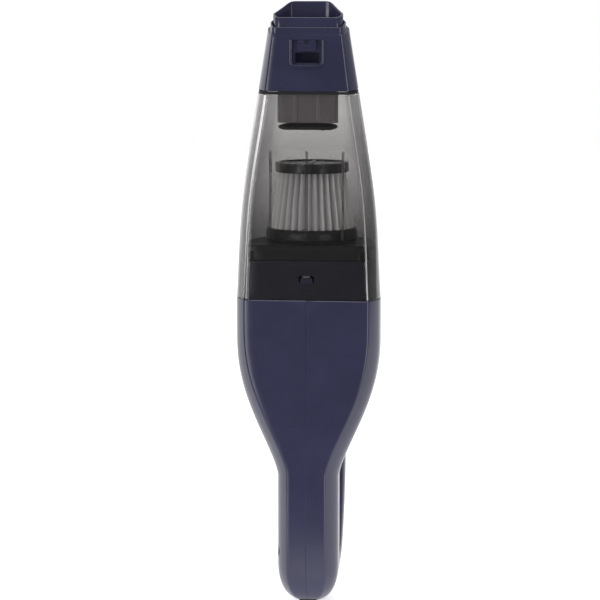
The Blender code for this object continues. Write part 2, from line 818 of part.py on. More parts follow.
def battery():
    for name, (x, y) in cell_places().items():
        can = rod(name, (x, y, BATTERY_Z + 0.0004), (x, y, BATTERY_TOP - 0.0016), CELL_RADIUS, 28)
        tip = rod("tip", (x, y, BATTERY_TOP - 0.002), (x, y, BATTERY_TOP - 0.0004), 0.0028, 16)
        finish(join(can, tip), "cell_wrap", CELL_WRAP)
    plates = []
    for low in (BATTERY_Z - CRADLE_PLATE, BATTERY_TOP):
        section = body_section(low).inset(WALL + SLIDE_ROOM)
        plates.append(loft("plate", [section.ring(low), section.ring(low + CRADLE_PLATE)]))
    bars = []
    for side in (-1, 1):
        inner = side * (CELL_RADIUS + 0.0014)
        outer = side * (CELL_RADIUS + 0.0040)
        bars.append(box(
            "bar", (min(inner, outer), NEAR_CELL_Y - 0.004, BATTERY_Z - 0.001),
            (max(inner, outer), NEAR_CELL_Y + 0.0045, BATTERY_TOP + 0.001),
        ))
    cradle = join(bars[0], *plates, bars[1])
    cradle.name = "battery_cradle"
    finish(cradle, "white_nylon", WHITE_NYLON)


def circuit_board():
    y = AXIS_Y - BOARD_SET
    top = BOARD_Z + BOARD_HEIGHT
    middle = BOARD_Z + 0.012
    board = box("circuit_board", (-0.019, y, BOARD_Z), (0.019, y + BOARD_THICK, top))
    pieces = [
        rod("capacitor", (-0.009, y + 0.001, middle), (-0.009, y + 0.009, middle), 0.004, 16),
        box("chip", (0.002, y + 0.001, BOARD_Z + 0.009), (0.011, y + 0.0035, BOARD_Z + 0.018)),
        box("connector", (-0.008, y + 0.001, top - 0.006), (0.008, y + 0.006, top - 0.001)),
    ]
    finish(join(board, *pieces), "board_green", BOARD_GREEN)


def about_axis(angle):
    """A turn about the motor axis."""
    return Matrix.Translation((0, AXIS_Y, 0)) @ Matrix.Rotation(angle, 4, "Z")


def axle(name, low, high, radius, sides):
    """A round bar on the motor axis."""
    return rod(name, (0, AXIS_Y, low), (0, AXIS_Y, high), radius, sides)


def motor():
    can = axle("motor_can", MOTOR_Z, MOTOR_TOP, MOTOR_RADIUS, 36)
    boss = axle("boss", MOTOR_TOP - 0.001, MOTOR_TOP + 0.002, 0.005, 24)
    well = axle("well", MOTOR_TOP - 0.008, MOTOR_TOP + 0.004, SHAFT_RADIUS + GAP, 16)
    slots = [
        box("slot", (-0.004, -0.001, 0), (0.004, 0.001, 0.012),
            Matrix.Translation((0, AXIS_Y, MOTOR_Z + 0.014)) @ Matrix.Rotation(a, 4, "Z")
            @ Matrix.Translation((0, MOTOR_RADIUS, 0)))
        for a in (math.pi / 4 + k * math.pi / 2 for k in range(4))
    ]
    finish(cut(join(can, boss), well, *slots), "steel", STEEL)
    finish(axle("motor_shaft", MOTOR_TOP - 0.007, MOTOR_TOP + 0.016, SHAFT_RADIUS, 16), "steel", STEEL)
    boot_low, boot_high = MOTOR_Z - 0.0025, MOTOR_Z + 0.008
    inner = MOTOR_RADIUS + GAP
    boot = turned("motor_boot", [
        (inner - 0.004, boot_low), (inner + 0.003, boot_low), (inner + 0.003, boot_high),
        (inner, boot_high), (inner, MOTOR_Z - GAP), (inner - 0.004, MOTOR_Z - GAP),
    ], 36)
    finish(boot, "rubber", RUBBER)


def fan():
    plate_low = MOTOR_TOP + GAP
    plate_high = plate_low + 0.0020
    inner = HOUSING_RADIUS - HOUSING_WALL
    plate = axle("motor_plate", plate_low, plate_high, inner - 2 * GAP, 32)
    holes = [axle("hole", plate_low - 0.01, plate_high + 0.01, 0.0053, 16)]
    for k in range(8):
        angle = 2 * math.pi * k / 8
        x, y = 0.68 * inner * math.cos(angle), AXIS_Y + 0.68 * inner * math.sin(angle)
        holes.append(rod("hole", (x, y, plate_low - 0.01), (x, y, plate_high + 0.01), 0.0048, 8))
    finish(cut(plate, *holes), "black_plastic", BLACK)

    lid = HOUSING_TOP - HOUSING_WALL
    inlet = 0.44 * HOUSING_RADIUS
    housing = turned("fan_housing", [
        (inner, plate_low), (HOUSING_RADIUS, plate_low), (HOUSING_RADIUS, HOUSING_TOP),
        (inlet, HOUSING_TOP), (inlet, lid), (inner, lid),
    ])
    finish(housing, "black_plastic", BLACK)

    low = plate_high + 0.0025
    radius = inner - 0.0029
    top = lid - 0.0020
    disc = axle("impeller", low, low + 0.0012, radius, 32)
    hub = axle("hub", low + 0.0005, low + 0.009, 0.005, 20)
    blades = []
    for k in range(BLADE_COUNT):
        turn = about_axis(2 * math.pi * k / BLADE_COUNT)
        rings = []
        for share in (0, 0.5, 1):
            r = 0.0105 + (radius - 0.0115) * share
            sweep = -0.7 * share
            here = Vector((r * math.cos(sweep), r * math.sin(sweep), 0))
            out = Vector((-math.sin(sweep - 0.5), math.cos(sweep - 0.5), 0)) * 0.0006
            rings.append([turn @ (here + s * out + Vector((0, 0, z))) for s, z in (
                (-1, low + 0.0008), (1, low + 0.0008), (1, top), (-1, top),
            )])
        blades.append(loft("blade", rings))
    bore = axle("bore", low - 0.01, low + 0.02, SHAFT_RADIUS + GAP, 16)
    finish(cut(join(disc, hub, *blades), bore), "white_nylon", WHITE_NYLON)


def lead(name, look_name, look, side):
    """A short wire from the board's connector to the motor's end."""
    start = AXIS_Y - BOARD_SET + 0.0040
    knots = [
        Vector((side * 0.004, start, BOARD_Z + BOARD_HEIGHT - 0.0010 + GAP)),
        Vector((side * 0.004, start, BOARD_Z + BOARD_HEIGHT + 0.004)),
        Vector((side * 0.0070, AXIS_Y - 0.0015, MOTOR_Z - 0.0045)),
        Vector((side * 0.0070, AXIS_Y - 0.0015, MOTOR_Z - GAP)),
    ]
    rings = []
    for i in range(13):
        t = i / 12
        blends = ((1 - t) ** 3, 3 * t * (1 - t) ** 2, 3 * t * t * (1 - t), t**3)
        centre = sum((k * b for k, b in zip(knots, blends)), Vector())
        slope = (
            3 * (1 - t) ** 2 * (knots[1] - knots[0]) + 6 * t * (1 - t) * (knots[2] - knots[1])
            + 3 * t * t * (knots[3] - knots[2])
        ).normalized()
        across = slope.cross(Vector((1, 0, 0))).normalized()
        other = slope.cross(across)
        rings.append([
            centre + 0.0007 * (math.cos(a) * across + math.sin(a) * other)
            for a in (2 * math.pi * k / 8 for k in range(8))
        ])
    finish(loft(name, rings), look_name, look)


# Bin foot and filter


def bulkhead():
    low = SEAM_Z - 0.008
    shelf = DECK_LOW - 0.0045
    outer_depth = max(WALL, BIN_WALL) + SLIDE_ROOM
    inner_depth = outer_depth + 0.0020

    def ring(z, depth):
        section = front_section(z) if z > SEAM_Z else body_section(z)
        return section.inset(depth).ring(z)

    outer = [ring(z, outer_depth) for z in (low, SEAM_Z, SEAM_Z + 0.012, DECK_LOW)]
    inner = [ring(z, inner_depth) for z in (low, SEAM_Z, shelf)]
    inner += [ring(z, inner_depth + 0.006) for z in (shelf, DECK_LOW)]
    collar = sleeve("bulkhead", outer, inner)
    notch_half = BUTTON_HALF + BUTTON_FLANGE + 2 * SLIDE_ROOM
    notch = box(
        "notch", (-notch_half, BARREL_FAR - 0.014, low - 0.01),
        (notch_half, BARREL_FAR + 0.01, SEAM_Z + LATCH_HEIGHT + 0.003),
    )
    way = catch_block("way", CATCH_HALF - 0.0008, 0.0012, -0.0004)
    finger = catch_block("finger", CATCH_HALF - 0.0020, -0.0010, -0.0018)
    finish(cut(collar, notch, cut(way, finger)), "dark_navy", DARK_NAVY)


def catch_block(name, half, low_shift, high_shift):
    """A block through the underside at the catch slot."""
    low = SEAM_Z + CATCH_START
    return box(
        name, (-half, UNDERSIDE - 0.01, low + low_shift),
        (half, UNDERSIDE + 0.012, low + CATCH_LENGTH + high_shift),
    )


def filter_deck():
    low = DECK_LOW + GAP
    step = DECK_TOP - DECK_FLANGE
    depth = BIN_WALL + SLIDE_ROOM
    rings = [front_section(z).inset(d).ring(z) for z, d in (
        (low, depth + DECK_SHELF), (step, depth + DECK_SHELF), (step, depth), (DECK_TOP, depth),
    )]
    deck = loft("filter_deck", rings)
    spigot = axle("spigot", DECK_TOP - 0.001, RING_Z + RING_HEIGHT - 0.002, SPIGOT_RADIUS, 36)
    bore = axle("bore", low - 0.01, DECK_TOP + 0.02, SPIGOT_RADIUS - SPIGOT_WALL, 36)
    finish(cut(join(deck, spigot), bore), "black_plastic", BLACK)


def intake_grille():
    radius = SPIGOT_RADIUS - SPIGOT_WALL - GAP
    low = DECK_TOP - DECK_FLANGE - 0.004
    high = low + 0.0024
    inner = radius - 0.0016
    grille = turned("intake_grille", [(inner, low), (radius, low), (radius, high), (inner, high)], 24)
    bars = []
    for k in range(3):
        bars.append(box(
            "bar", (-radius + 0.0008, -0.0007, low + 0.0002), (radius - 0.0008, 0.0007, high - 0.0002),
            about_axis(math.pi * k / 3),
        ))
    ring = turned("ring", [
        (0.5 * radius - 0.0007, low + 0.0003), (0.5 * radius + 0.0007, low + 0.0003),
        (0.5 * radius + 0.0007, high - 0.0003), (0.5 * radius - 0.0007, high - 0.0003),
    ], 12)
    finish(join(grille, *bars, ring), "black_plastic", BLACK)


def filter_seal():
    low = DECK_TOP + GAP
    inner = SPIGOT_RADIUS + SLIDE_ROOM
    outer = RING_RADIUS - 0.001
    high = low + FILTER_SEAL
    seal = turned("filter_seal", [(inner, low), (outer, low), (outer, high), (inner, high)])
    finish(seal, "rubber", RUBBER)


def filter_ring():
    bore = SPIGOT_RADIUS + SLIDE_ROOM
    high = RING_Z + RING_HEIGHT
    ring = turned("filter_ring", [
        (bore, RING_Z), (RING_RADIUS, RING_Z), (RING_RADIUS, high - 0.0025), (RING_RADIUS - 0.0010, high),
        (bore, high),
    ])
    finish(ring, "black_plastic", BLACK)


def pleat_rings(radius, z):
    ring = []
    for k in range(2 * PLEATS):
        angle = math.pi * k / PLEATS
        r = radius if k % 2 == 0 else radius - PLEAT_DEPTH
        ring.append(Vector((r * math.cos(angle), AXIS_Y + r * math.sin(angle), z)))
    return ring


def filter_pleats():
    top = CAP_Z - GAP
    heights = ((PLEAT_Z, PLEAT_RADIUS), (top, PLEAT_RADIUS - PLEAT_TAPER))
    outer = [pleat_rings(r, z) for z, r in heights]
    inner = [pleat_rings(r - PAPER, z) for z, r in heights]
    finish(sleeve("filter_pleats", outer, inner), "filter_paper", PAPER_WHITE, 20)


def filter_cage():
    low, top = PLEAT_Z, CAP_Z - GAP
    valley = PLEAT_RADIUS - PLEAT_DEPTH - PAPER - GAP

    def radius(z):
        return valley * math.cos(math.pi / 36) - PLEAT_TAPER * (z - low) / (top - low) - 0.0002

    cage = turned("filter_cage", [
        (radius(low) - 0.0014, low), (radius(low), low), (radius(top), top), (radius(top) - 0.0014, top),
    ])
    windows = []
    height = top - low
    z = low + 0.1 * height
    for k in range(3):
        turn = about_axis(math.pi * (k + 0.5) / 3)
        windows.append(box("window", (-0.05, -0.0065, z), (0.05, 0.0065, z + 0.8 * height), turn))
    finish(cut(cage, *windows), "black_plastic", BLACK)


def filter_cap():
    radius = PLEAT_RADIUS - PLEAT_TAPER + 0.0021
    top = CAP_Z + CAP_HEIGHT
    rings = [circle(r, z) for r, z in (
        (radius, CAP_Z), (radius, top - 0.0006), (radius - 0.0006, top), (radius - 0.0030, top),
        (radius - 0.0036, top - 0.0010),
    )]
    cap = loft("filter_cap", rings)
    reach = radius - 0.006
    grip = box("grip", (-0.0016, AXIS_Y - reach, top - 0.002), (0.0016, AXIS_Y + reach, top))
    finish(join(cap, grip), "black_plastic", BLACK)


# Bin and nozzle


def dust_bin():
    heights = [SEAM_Z + GAP] + steps(SEAM_Z, NOZZLE_Z - GAP, 8)[1:]
    shell = sleeve("dust_bin", front_rings(heights), front_rings(heights, BIN_WALL))
    fins = []
    for x in (-FIN_SPACE, 0, FIN_SPACE):
        rings = []
        for z in (DECK_TOP + 0.0045, CAP_Z + CAP_HEIGHT + 0.010):
            root = front_section(z).near + BIN_WALL - 0.0005
            tip = root + FIN_HEIGHT
            rings.append([
                Vector((x - FIN_HALF, root, z)), Vector((x + FIN_HALF, root, z)),
                Vector((x + FIN_HALF, tip, z)), Vector((x - FIN_HALF, tip, z)),
            ])
        fins.append(loft("fin", rings))
    finish(cut(join(shell, *fins), catch_block("slot", CATCH_HALF, 0, 0)), "smoke_clear", SMOKE)


def nozzle_seal():
    heights = [NOZZLE_Z, NOZZLE_Z + SEAL_HEIGHT]
    seal = sleeve("nozzle_seal", front_rings(heights, 0.0003), front_rings(heights, 0.0026))
    finish(seal, "rubber", RUBBER)


def mouth_section(depth=0.0, chamfer=MOUTH_CHAMFER):
    near = UNDERSIDE + UNDERSIDE_RISE + MOUTH_SET_BACK
    return Section(
        MOUTH_FACE_HALF - depth, MOUTH_HALF - depth, near + depth, near + 0.0075,
        near + MOUTH_DEPTH - depth, chamfer, 1.0, MOUTH_FAR_HALF - 0.6 * depth,
    )


def nozzle_shell():
    low = NOZZLE_Z + SEAL_HEIGHT + GAP
    main_top = RIM_Z - 0.0010
    heights = steps(low, main_top, 4)
    outer = front_rings(heights)
    lip = mouth_section(-SHOULDER_ROOM, 0.0036)
    lip.near = UNDERSIDE + UNDERSIDE_RISE + 0.0006
    rim_rise = front_rise(RIM_Z)
    outer.append(lip.ring(RIM_Z + 0.0012, rim_rise))
    outer.append(lip.ring(RIM_Z + RIM_HEIGHT, rim_rise))
    inner = front_rings(heights[:-1], NOZZLE_WALL)
    neck = mouth_section(-0.0007, 0.0022)
    inner.append(neck.ring(main_top - 0.0005, rim_rise))
    inner.append(neck.ring(RIM_Z + RIM_HEIGHT, rim_rise))
    shell = sleeve("nozzle_shell", outer, inner)
    near_low = front_section(NOZZLE_Z + 0.5 * NOZZLE_LENGTH).near
    slot_low = NOZZLE_Z + SNAP_SLOT_START
    slot_high = slot_low + SNAP_SLOT_LENGTH
    start = SNAP_SLOT_HALF + GAP
    end = start + SNAP_RIM
    frame = [
        box("frame", (x0, near_low - SNAP_RIM_HEIGHT, slot_low - SNAP_RIM), (x1, near_low + 0.0016, z1))
        for x0, x1, z1 in ((-end, -start, slot_high), (start, end, slot_high), (-end, end, slot_low))
    ]
    hole = box(
        "hole", (-SNAP_SLOT_HALF, near_low - 0.01, slot_low), (SNAP_SLOT_HALF, near_low + 0.0042, slot_high),
    )
    finish(cut(join(shell, *frame), hole), "navy", NAVY)


def mouth_collar():
    places = ((NOZZLE_Z + COLLAR_START, 0), (RIM_Z, MOUTH_RISE), (LIP_Z, MOUTH_RISE))
    collar = sleeve("mouth_collar", *(
        [mouth_section(depth).ring(z, rise) for z, rise in places] for depth in (0, DUCT_WALL)
    ))
    near = mouth_section().near
    high = NOZZLE_Z + SNAP_SLOT_START + SNAP_SLOT_LENGTH - 0.0004
    low = high - SNAP_TAB_LENGTH
    tab = box("tab", (-SNAP_TAB_HALF, near - 0.0022, low), (SNAP_TAB_HALF, near + 0.0006, high))
    window = box(
        "window", (-SNAP_SLOT_HALF + 0.0017, near - 0.01, NOZZLE_Z + SNAP_SLOT_START + 0.0013),
        (SNAP_SLOT_HALF - 0.0017, near + 0.006, low - 0.0012),
    )
    finish(cut(join(collar, tab), window), "navy", NAVY)


# Inlet duct and flap


def duct_section(depth=0.0):
    near = UNDERSIDE + 0.0078
    return Section(
        DUCT_FACE_HALF - depth, DUCT_FACE_HALF + 0.0010 - depth, near + depth, near + 0.006,
        near + DUCT_DEPTH - depth, 0.003, 1.0, DUCT_FAR_HALF - 0.6 * depth,
    )


def inlet_duct():
    top = NOZZLE_Z + COLLAR_START - GAP
    tube = loft("inlet_duct", [duct_section().ring(z) for z in (DUCT_END, top)])
    plate_low = NOZZLE_Z + SEAL_HEIGHT + SLIDE_ROOM
    plate = loft("plate", front_rings([plate_low, plate_low + 0.0018], NOZZLE_WALL + GAP))
    near = duct_section().near
    ribs = [
        box("rib", (x - 0.0018, near - 0.0006, DUCT_END), (x + 0.0018, near + 0.001, NOZZLE_Z - 0.001))
        for x in (-0.0085, 0.0085)
    ]
    far = duct_section().far
    ears = [
        box("ear", (x - 0.001, far - 0.002, DUCT_END - 0.0042), (x + 0.001, far + 0.0024, DUCT_END + 0.004))
        for x in (-0.0125, 0.0125)
    ]
    bore = loft("bore", [duct_section(DUCT_WALL).ring(z) for z in (DUCT_END - 0.001, top + 0.001)])
    y, z = flap_axis()
    pin_hole = rod("pin_hole", (-0.03, y, z), (0.03, y, z), PIN_RADIUS + GAP, 12)
    duct = cut(join(tube, plate, *ribs, *ears), bore, pin_hole)
    finish(duct, "duct_grey", GREY)


def flap_axis():
    return duct_section().far + 0.0006, DUCT_END - 0.0024


def flap_parts():
    y, z = flap_axis()
    pin = rod("flap_pin", (-0.0142, y, z), (0.0142, y, z), PIN_RADIUS, 12)
    finish(pin, "steel", STEEL)
    section = duct_section(-0.0002)
    near = section.near
    half = DUCT_FACE_HALF + 0.0008
    length = y - near
    outline = [
        (-half + 0.004, -length), (half - 0.004, -length), (half, -length + 0.005),
        (half - 0.001, -0.0078), (half - 0.004, -0.0046), (-half + 0.004, -0.0046),
        (-half + 0.001, -0.0078), (-half, -length + 0.005),
    ]
    droop = Matrix.Translation((0, y, z)) @ Matrix.Rotation(math.radians(FLAP_DROOP), 4, "X")
    face = FLAP_THICK + 0.0004  # the plate's upper face, above the pin

    def plate_ring(height, grow):
        return [droop @ Vector((px * grow, py, height)) for px, py in outline]

    plate = loft("inlet_flap", [
        plate_ring(face - FLAP_THICK - 0.0004, 0.94), plate_ring(face - 0.0010, 1.0), plate_ring(face, 0.9),
    ])
    barrel = rod("barrel", (-0.0110, y, z), (0.0110, y, z), PIN_RADIUS + GAP + 0.0008, 16)
    web = box("web", (-0.0110, -0.0060, -0.0012), (0.0110, -0.0004, 0.0015), droop)
    nub = box("nub", (0.010, -length + 0.001, -0.0006), (0.0124, -length + 0.003, 0.0008), droop)
    hole = rod("hole", (-0.03, y, z), (0.03, y, z), PIN_RADIUS + GAP, 12)
    finish(cut(join(plate, barrel, web, nub), hole), "flap_rubber", RUBBER)


def main():
    for old in list(bpy.data.objects):
        bpy.data.objects.remove(old)
    casing()
    screws()
    release_button()
    power_switch()
    switch_unit()
    charge_lamp()
    charge_jack()
    dock_block()
    battery()
    circuit_board()
    motor()
    fan()
    lead("motor_lead_red", "lead_red", RED, 1)
    lead("motor_lead_black", "lead_black", BLACK, -1)
    bulkhead()
    filter_deck()
    intake_grille()
    filter_seal()
    filter_ring()
    filter_pleats()
    filter_cage()
    filter_cap()
    dust_bin()
    nozzle_seal()
    nozzle_shell()
    mouth_collar()
    inlet_duct()
    flap_parts()


main()
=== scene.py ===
import math

import bmesh
import bpy
from mathutils import Matrix, Vector


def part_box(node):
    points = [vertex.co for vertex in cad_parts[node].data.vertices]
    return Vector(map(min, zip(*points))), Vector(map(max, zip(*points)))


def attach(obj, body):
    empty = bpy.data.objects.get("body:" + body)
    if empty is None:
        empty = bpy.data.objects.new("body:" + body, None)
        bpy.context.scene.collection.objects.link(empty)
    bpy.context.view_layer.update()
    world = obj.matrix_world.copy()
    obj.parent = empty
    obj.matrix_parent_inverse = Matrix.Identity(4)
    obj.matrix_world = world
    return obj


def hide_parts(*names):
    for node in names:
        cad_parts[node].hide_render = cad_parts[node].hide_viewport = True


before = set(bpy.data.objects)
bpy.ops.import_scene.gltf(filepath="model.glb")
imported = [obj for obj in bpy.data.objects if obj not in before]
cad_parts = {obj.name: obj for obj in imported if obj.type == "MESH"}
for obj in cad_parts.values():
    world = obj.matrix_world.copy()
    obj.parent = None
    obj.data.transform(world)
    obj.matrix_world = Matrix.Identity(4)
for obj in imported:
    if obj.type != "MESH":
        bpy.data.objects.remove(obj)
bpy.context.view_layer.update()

print("frame loaded:", len(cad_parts), "parts")


def addPiece(name, mesh):
    piece = bpy.data.objects.new(name, mesh)
    bpy.context.scene.collection.objects.link(piece)
    return piece


def shapePiece(name, build, tidy=True):
    shape = bmesh.new()
    build(shape)
    if tidy:
        bmesh.ops.remove_doubles(shape, verts=shape.verts, dist=1e-7)
        bmesh.ops.recalc_face_normals(shape, faces=shape.faces)
    mesh = bpy.data.meshes.new(name)
    shape.to_mesh(mesh)
    shape.free()
    return addPiece(name, mesh)


def loftPiece(name, rings, closed=False):  # capped flat, or joined end to end when closed
    def build(shape):
        rows = [[shape.verts.new(point) for point in ring] for ring in rings]
        count = len(rows[0])
        pairs = list(zip(rows, rows[1:] + rows[:1])) if closed else list(zip(rows, rows[1:]))
        for low, high in pairs:
            for i in range(count):
                j = (i + 1) % count
                shape.faces.new((low[i], low[j], high[j], high[i]))
        if not closed:
            shape.faces.new(list(reversed(rows[0])))
            shape.faces.new(rows[-1])
    return shapePiece(name, build)


def tubePiece(name, outer, inner):
    return loftPiece(name, outer + inner[::-1], closed=True)


def boxPiece(name, low, high, turn=None, soft=0.0, steps=2):
    def build(shape):
        bmesh.ops.create_cube(shape, size=1)
        for vert in shape.verts:
            for k in range(3):
                vert.co[k] = high[k] if vert.co[k] > 0 else low[k]
        if soft:
            bmesh.ops.bevel(shape, geom=list(shape.edges), offset=soft, segments=steps, profile=0.5,
                            affect="EDGES")
        if turn:
            for vert in shape.verts:
                vert.co = turn @ vert.co
    return shapePiece(name, build)


def barPiece(name, start, end, radius, sides=48, turn=None, soft=0.0):
    start, end = Vector(start), Vector(end)
    spin = Vector((0, 0, 1)).rotation_difference(end - start).to_matrix().to_4x4()
    place = Matrix.Translation(start) @ spin
    if turn:
        place = turn @ place
    long = (end - start).length
    profile = [(radius, 0), (radius, long)]
    if soft:
        profile = [(radius - soft, 0), (radius - 0.3 * soft, 0.3 * soft), (radius, soft),
                   (radius, long - soft), (radius - 0.3 * soft, long - 0.3 * soft), (radius - soft, long)]
    rings = [[place @ Vector((r * math.cos(a), r * math.sin(a), z))
              for a in (2 * math.pi * i / sides for i in range(sides))] for r, z in profile]
    return loftPiece(name, rings)


def turnedRing(radius, z, axisY, sides):
    return [Vector((radius * math.cos(a), axisY + radius * math.sin(a), z))
            for a in (2 * math.pi * i / sides for i in range(sides))]


def turnedPiece(name, profile, axisY, sides=128):  # about the motor axis, from (radius, z) points
    return loftPiece(name, [turnedRing(r, z, axisY, sides) for r, z in profile], closed=True)


def combine(piece, tools, operation="DIFFERENCE", solver="MANIFOLD"):
    for tool in tools:
        step = piece.modifiers.new("step", "BOOLEAN")
        step.operation = operation
        step.solver = solver
        step.object = tool
        bpy.context.view_layer.update()
        graph = bpy.context.evaluated_depsgraph_get()
        made = bpy.data.meshes.new_from_object(piece.evaluated_get(graph))
        piece.modifiers.clear()
        piece.data = made
        bpy.data.objects.remove(tool)
    if not len(piece.data.polygons):
        print("WARNING nothing left of", piece.name)
    return piece


def finishPiece(piece, look, body, nodes, crease=32):
    piece.data.materials.clear()
    piece.data.materials.append(look)
    for face in piece.data.polygons:
        face.material_index = 0
    piece.data.shade_smooth()
    piece.data.set_sharp_from_angle(angle=math.radians(crease))
    for name in [a.name for a in piece.data.attributes if a.name.startswith("sharp_face")]:
        piece.data.attributes.remove(piece.data.attributes[name])
    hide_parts(*nodes)
    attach(piece, body)
    return piece


def spline(points, at):
    if at <= points[0][0]:
        return points[0][1]
    if at >= points[-1][0]:
        return points[-1][1]
    slopes = [(b[1] - a[1]) / (b[0] - a[0]) for a, b in zip(points, points[1:])]
    tangents = [slopes[0]] + [(a + b) / 2 for a, b in zip(slopes, slopes[1:])] + [slopes[-1]]
    i = max(k for k in range(len(points) - 1) if points[k][0] <= at)
    step = points[i + 1][0] - points[i][0]
    t = (at - points[i][0]) / step
    return ((2 * t**3 - 3 * t**2 + 1) * points[i][1] + (t**3 - 2 * t**2 + t) * step * tangents[i]
            + (3 * t**2 - 2 * t**3) * points[i + 1][1] + (t**3 - t**2) * step * tangents[i + 1])


def shares(low, high, count):
    return [low + (high - low) * i / count for i in range(count + 1)]


def curved(start, control, end, t):
    return tuple((1 - t)**2 * a + 2 * t * (1 - t) * c + t * t * b for a, c, b in zip(start, control, end))


def setInput(node, label, value):  # a plain value, or another node's output to link
    if isinstance(value, bpy.types.NodeSocket):
        node.id_data.links.new(value, node.inputs[label])
    else:
        node.inputs[label].default_value = value


def newLook(name):
    look = bpy.data.materials.new(name)
    look.use_nodes = True
    tree = look.node_tree
    tree.nodes.clear()
    out = tree.nodes.new("ShaderNodeOutputMaterial")
    shader = tree.nodes.new("ShaderNodeBsdfPrincipled")
    setInput(out, 0, shader.outputs[0])
    return look, tree, shader, out


def addNoise(tree, scale, detail=4.0, roughness=0.55, stretch=(1, 1, 1)):
    coord = tree.nodes.new("ShaderNodeTexCoord")
    mapping = tree.nodes.new("ShaderNodeMapping")
    setInput(mapping, "Scale", stretch)
    noise = tree.nodes.new("ShaderNodeTexNoise")
    setInput(noise, "Scale", scale)
    setInput(noise, "Detail", detail)
    setInput(noise, "Roughness", roughness)
    setInput(mapping, "Vector", coord.outputs["Object"])
    setInput(noise, "Vector", mapping.outputs["Vector"])
    return noise.outputs["Fac"]


def addRange(tree, value, fromLow, fromHigh, toLow, toHigh):
    node = tree.nodes.new("ShaderNodeMapRange")
    ends = {"From Min": fromLow, "From Max": fromHigh, "To Min": toLow, "To Max": toHigh}
    for label, number in ends.items():
        setInput(node, label, number)
    setInput(node, "Value", value)
    return node.outputs["Result"]


def addMath(tree, operation, first, second=None, third=None):
    node = tree.nodes.new("ShaderNodeMath")
    node.operation = operation
    for i, value in enumerate((first, second, third)):
        if value is not None:
            setInput(node, i, value)
    return node.outputs[0]


def times(tree, first, second):
    return addMath(tree, "MULTIPLY", first, second)


def minus(tree, first, second):
    return addMath(tree, "SUBTRACT", first, second)


def addMix(tree, factor, first, second, blend="MIX"):
    node = tree.nodes.new("ShaderNodeMix")
    node.data_type = "RGBA"
    node.blend_type = blend
    for i, value in ((0, factor), (6, first), (7, second)):
        setInput(node, i, (*value, 1) if isinstance(value, tuple) else value)
    return node.outputs[2]


def addBump(tree, shader, height, strength, distance):
    bump = tree.nodes.new("ShaderNodeBump")
    setInput(bump, "Strength", strength)
    setInput(bump, "Distance", distance)
    setInput(bump, "Height", height)
    setInput(shader, "Normal", bump.outputs["Normal"])
    return bump


def plasticLook(name, colour, roughness, grain=1500, depth=0.02, wear=0.25, worn=None, sheen=0.0,
                specular=0.5, coat=0.0, stretch=(1, 1, 1), spread=0.06):
    # fine grain, flow marks, uneven gloss and edges rubbed lighter
    look, tree, shader, _ = newLook(name)
    flow = addNoise(tree, 28, 3, 0.5, stretch)
    darker = tuple(c * (1 - 2 * spread) for c in colour)
    lighter = tuple(min(c * (1 + 2 * spread) + 0.001, 1) for c in colour)
    base = addMix(tree, addRange(tree, flow, 0.3, 0.7, 0, 1), darker, lighter)
    geometry = tree.nodes.new("ShaderNodeNewGeometry")
    edge = addRange(tree, geometry.outputs["Pointiness"], 0.53, 0.62, 0, wear)
    scuff = addRange(tree, addNoise(tree, 320, 6, 0.7), 0.42, 0.62, 0.2, 1)
    both = times(tree, edge, scuff)
    worn = worn or tuple(min(c * 2.2 + 0.02, 1) for c in colour)
    setInput(shader, "Base Color", addMix(tree, both, base, worn))
    haze = addRange(tree, addNoise(tree, 90, 5, 0.6), 0.25, 0.75, roughness * 0.86, roughness * 1.16)
    setInput(shader, "Roughness", haze)
    addBump(tree, shader, addNoise(tree, grain, 2, 0.5), depth, 0.0004)
    setInput(shader, "Specular IOR Level", specular)
    if coat:
        setInput(shader, "Coat Weight", coat)
        setInput(shader, "Coat Roughness", 0.12)
    if sheen:
        setInput(shader, "Sheen Weight", sheen)
    return look


def metalLook(name, colour, roughness, stretch=(1, 1, 60)):
    look, tree, shader, _ = newLook(name)
    lines = addNoise(tree, 120, 6, 0.7, stretch)
    setInput(shader, "Base Color",
             addMix(tree, addRange(tree, lines, 0.3, 0.7, 0, 1), tuple(c * 0.8 for c in colour), colour))
    setInput(shader, "Roughness", addRange(tree, lines, 0.2, 0.8, roughness * 0.7, roughness * 1.4))
    setInput(shader, "Metallic", 1.0)
    addBump(tree, shader, lines, 0.05, 0.0002)
    return look


def paperLook(name):
    look, tree, shader, _ = newLook(name)
    fibres = addNoise(tree, 900, 8, 0.75, (1, 1, 0.35))
    dust = addNoise(tree, 60, 5, 0.6, (1, 1, 0.5))
    clean = addMix(tree, addRange(tree, fibres, 0.3, 0.7, 0, 1), (0.84, 0.84, 0.85), (0.95, 0.95, 0.96))
    soiled = addMix(tree, addRange(tree, dust, 0.45, 0.8, 0, 0.35), clean, (0.72, 0.71, 0.70))
    fold = tree.nodes.new("ShaderNodeAttribute")
    fold.attribute_name = "fold"
    # painted shade in the pleat valleys and a painted highlight along the ridge tops, both read from the fold
    # attribute
    creaseShade = addMix(tree, addRange(tree, fold.outputs["Fac"], 0.15, 0.85, 1, 0), soiled, (0.52, 0.52, 0.55))
    setInput(shader, "Base Color",
             addMix(tree, addRange(tree, fold.outputs["Fac"], 0.90, 0.98, 0, 1), creaseShade, (1.0, 1.0, 1.0)))
    setInput(shader, "Roughness", 0.9)
    setInput(shader, "Sheen Weight", 0.15)
    addBump(tree, shader, fibres, 0.35, 0.0003)
    return look


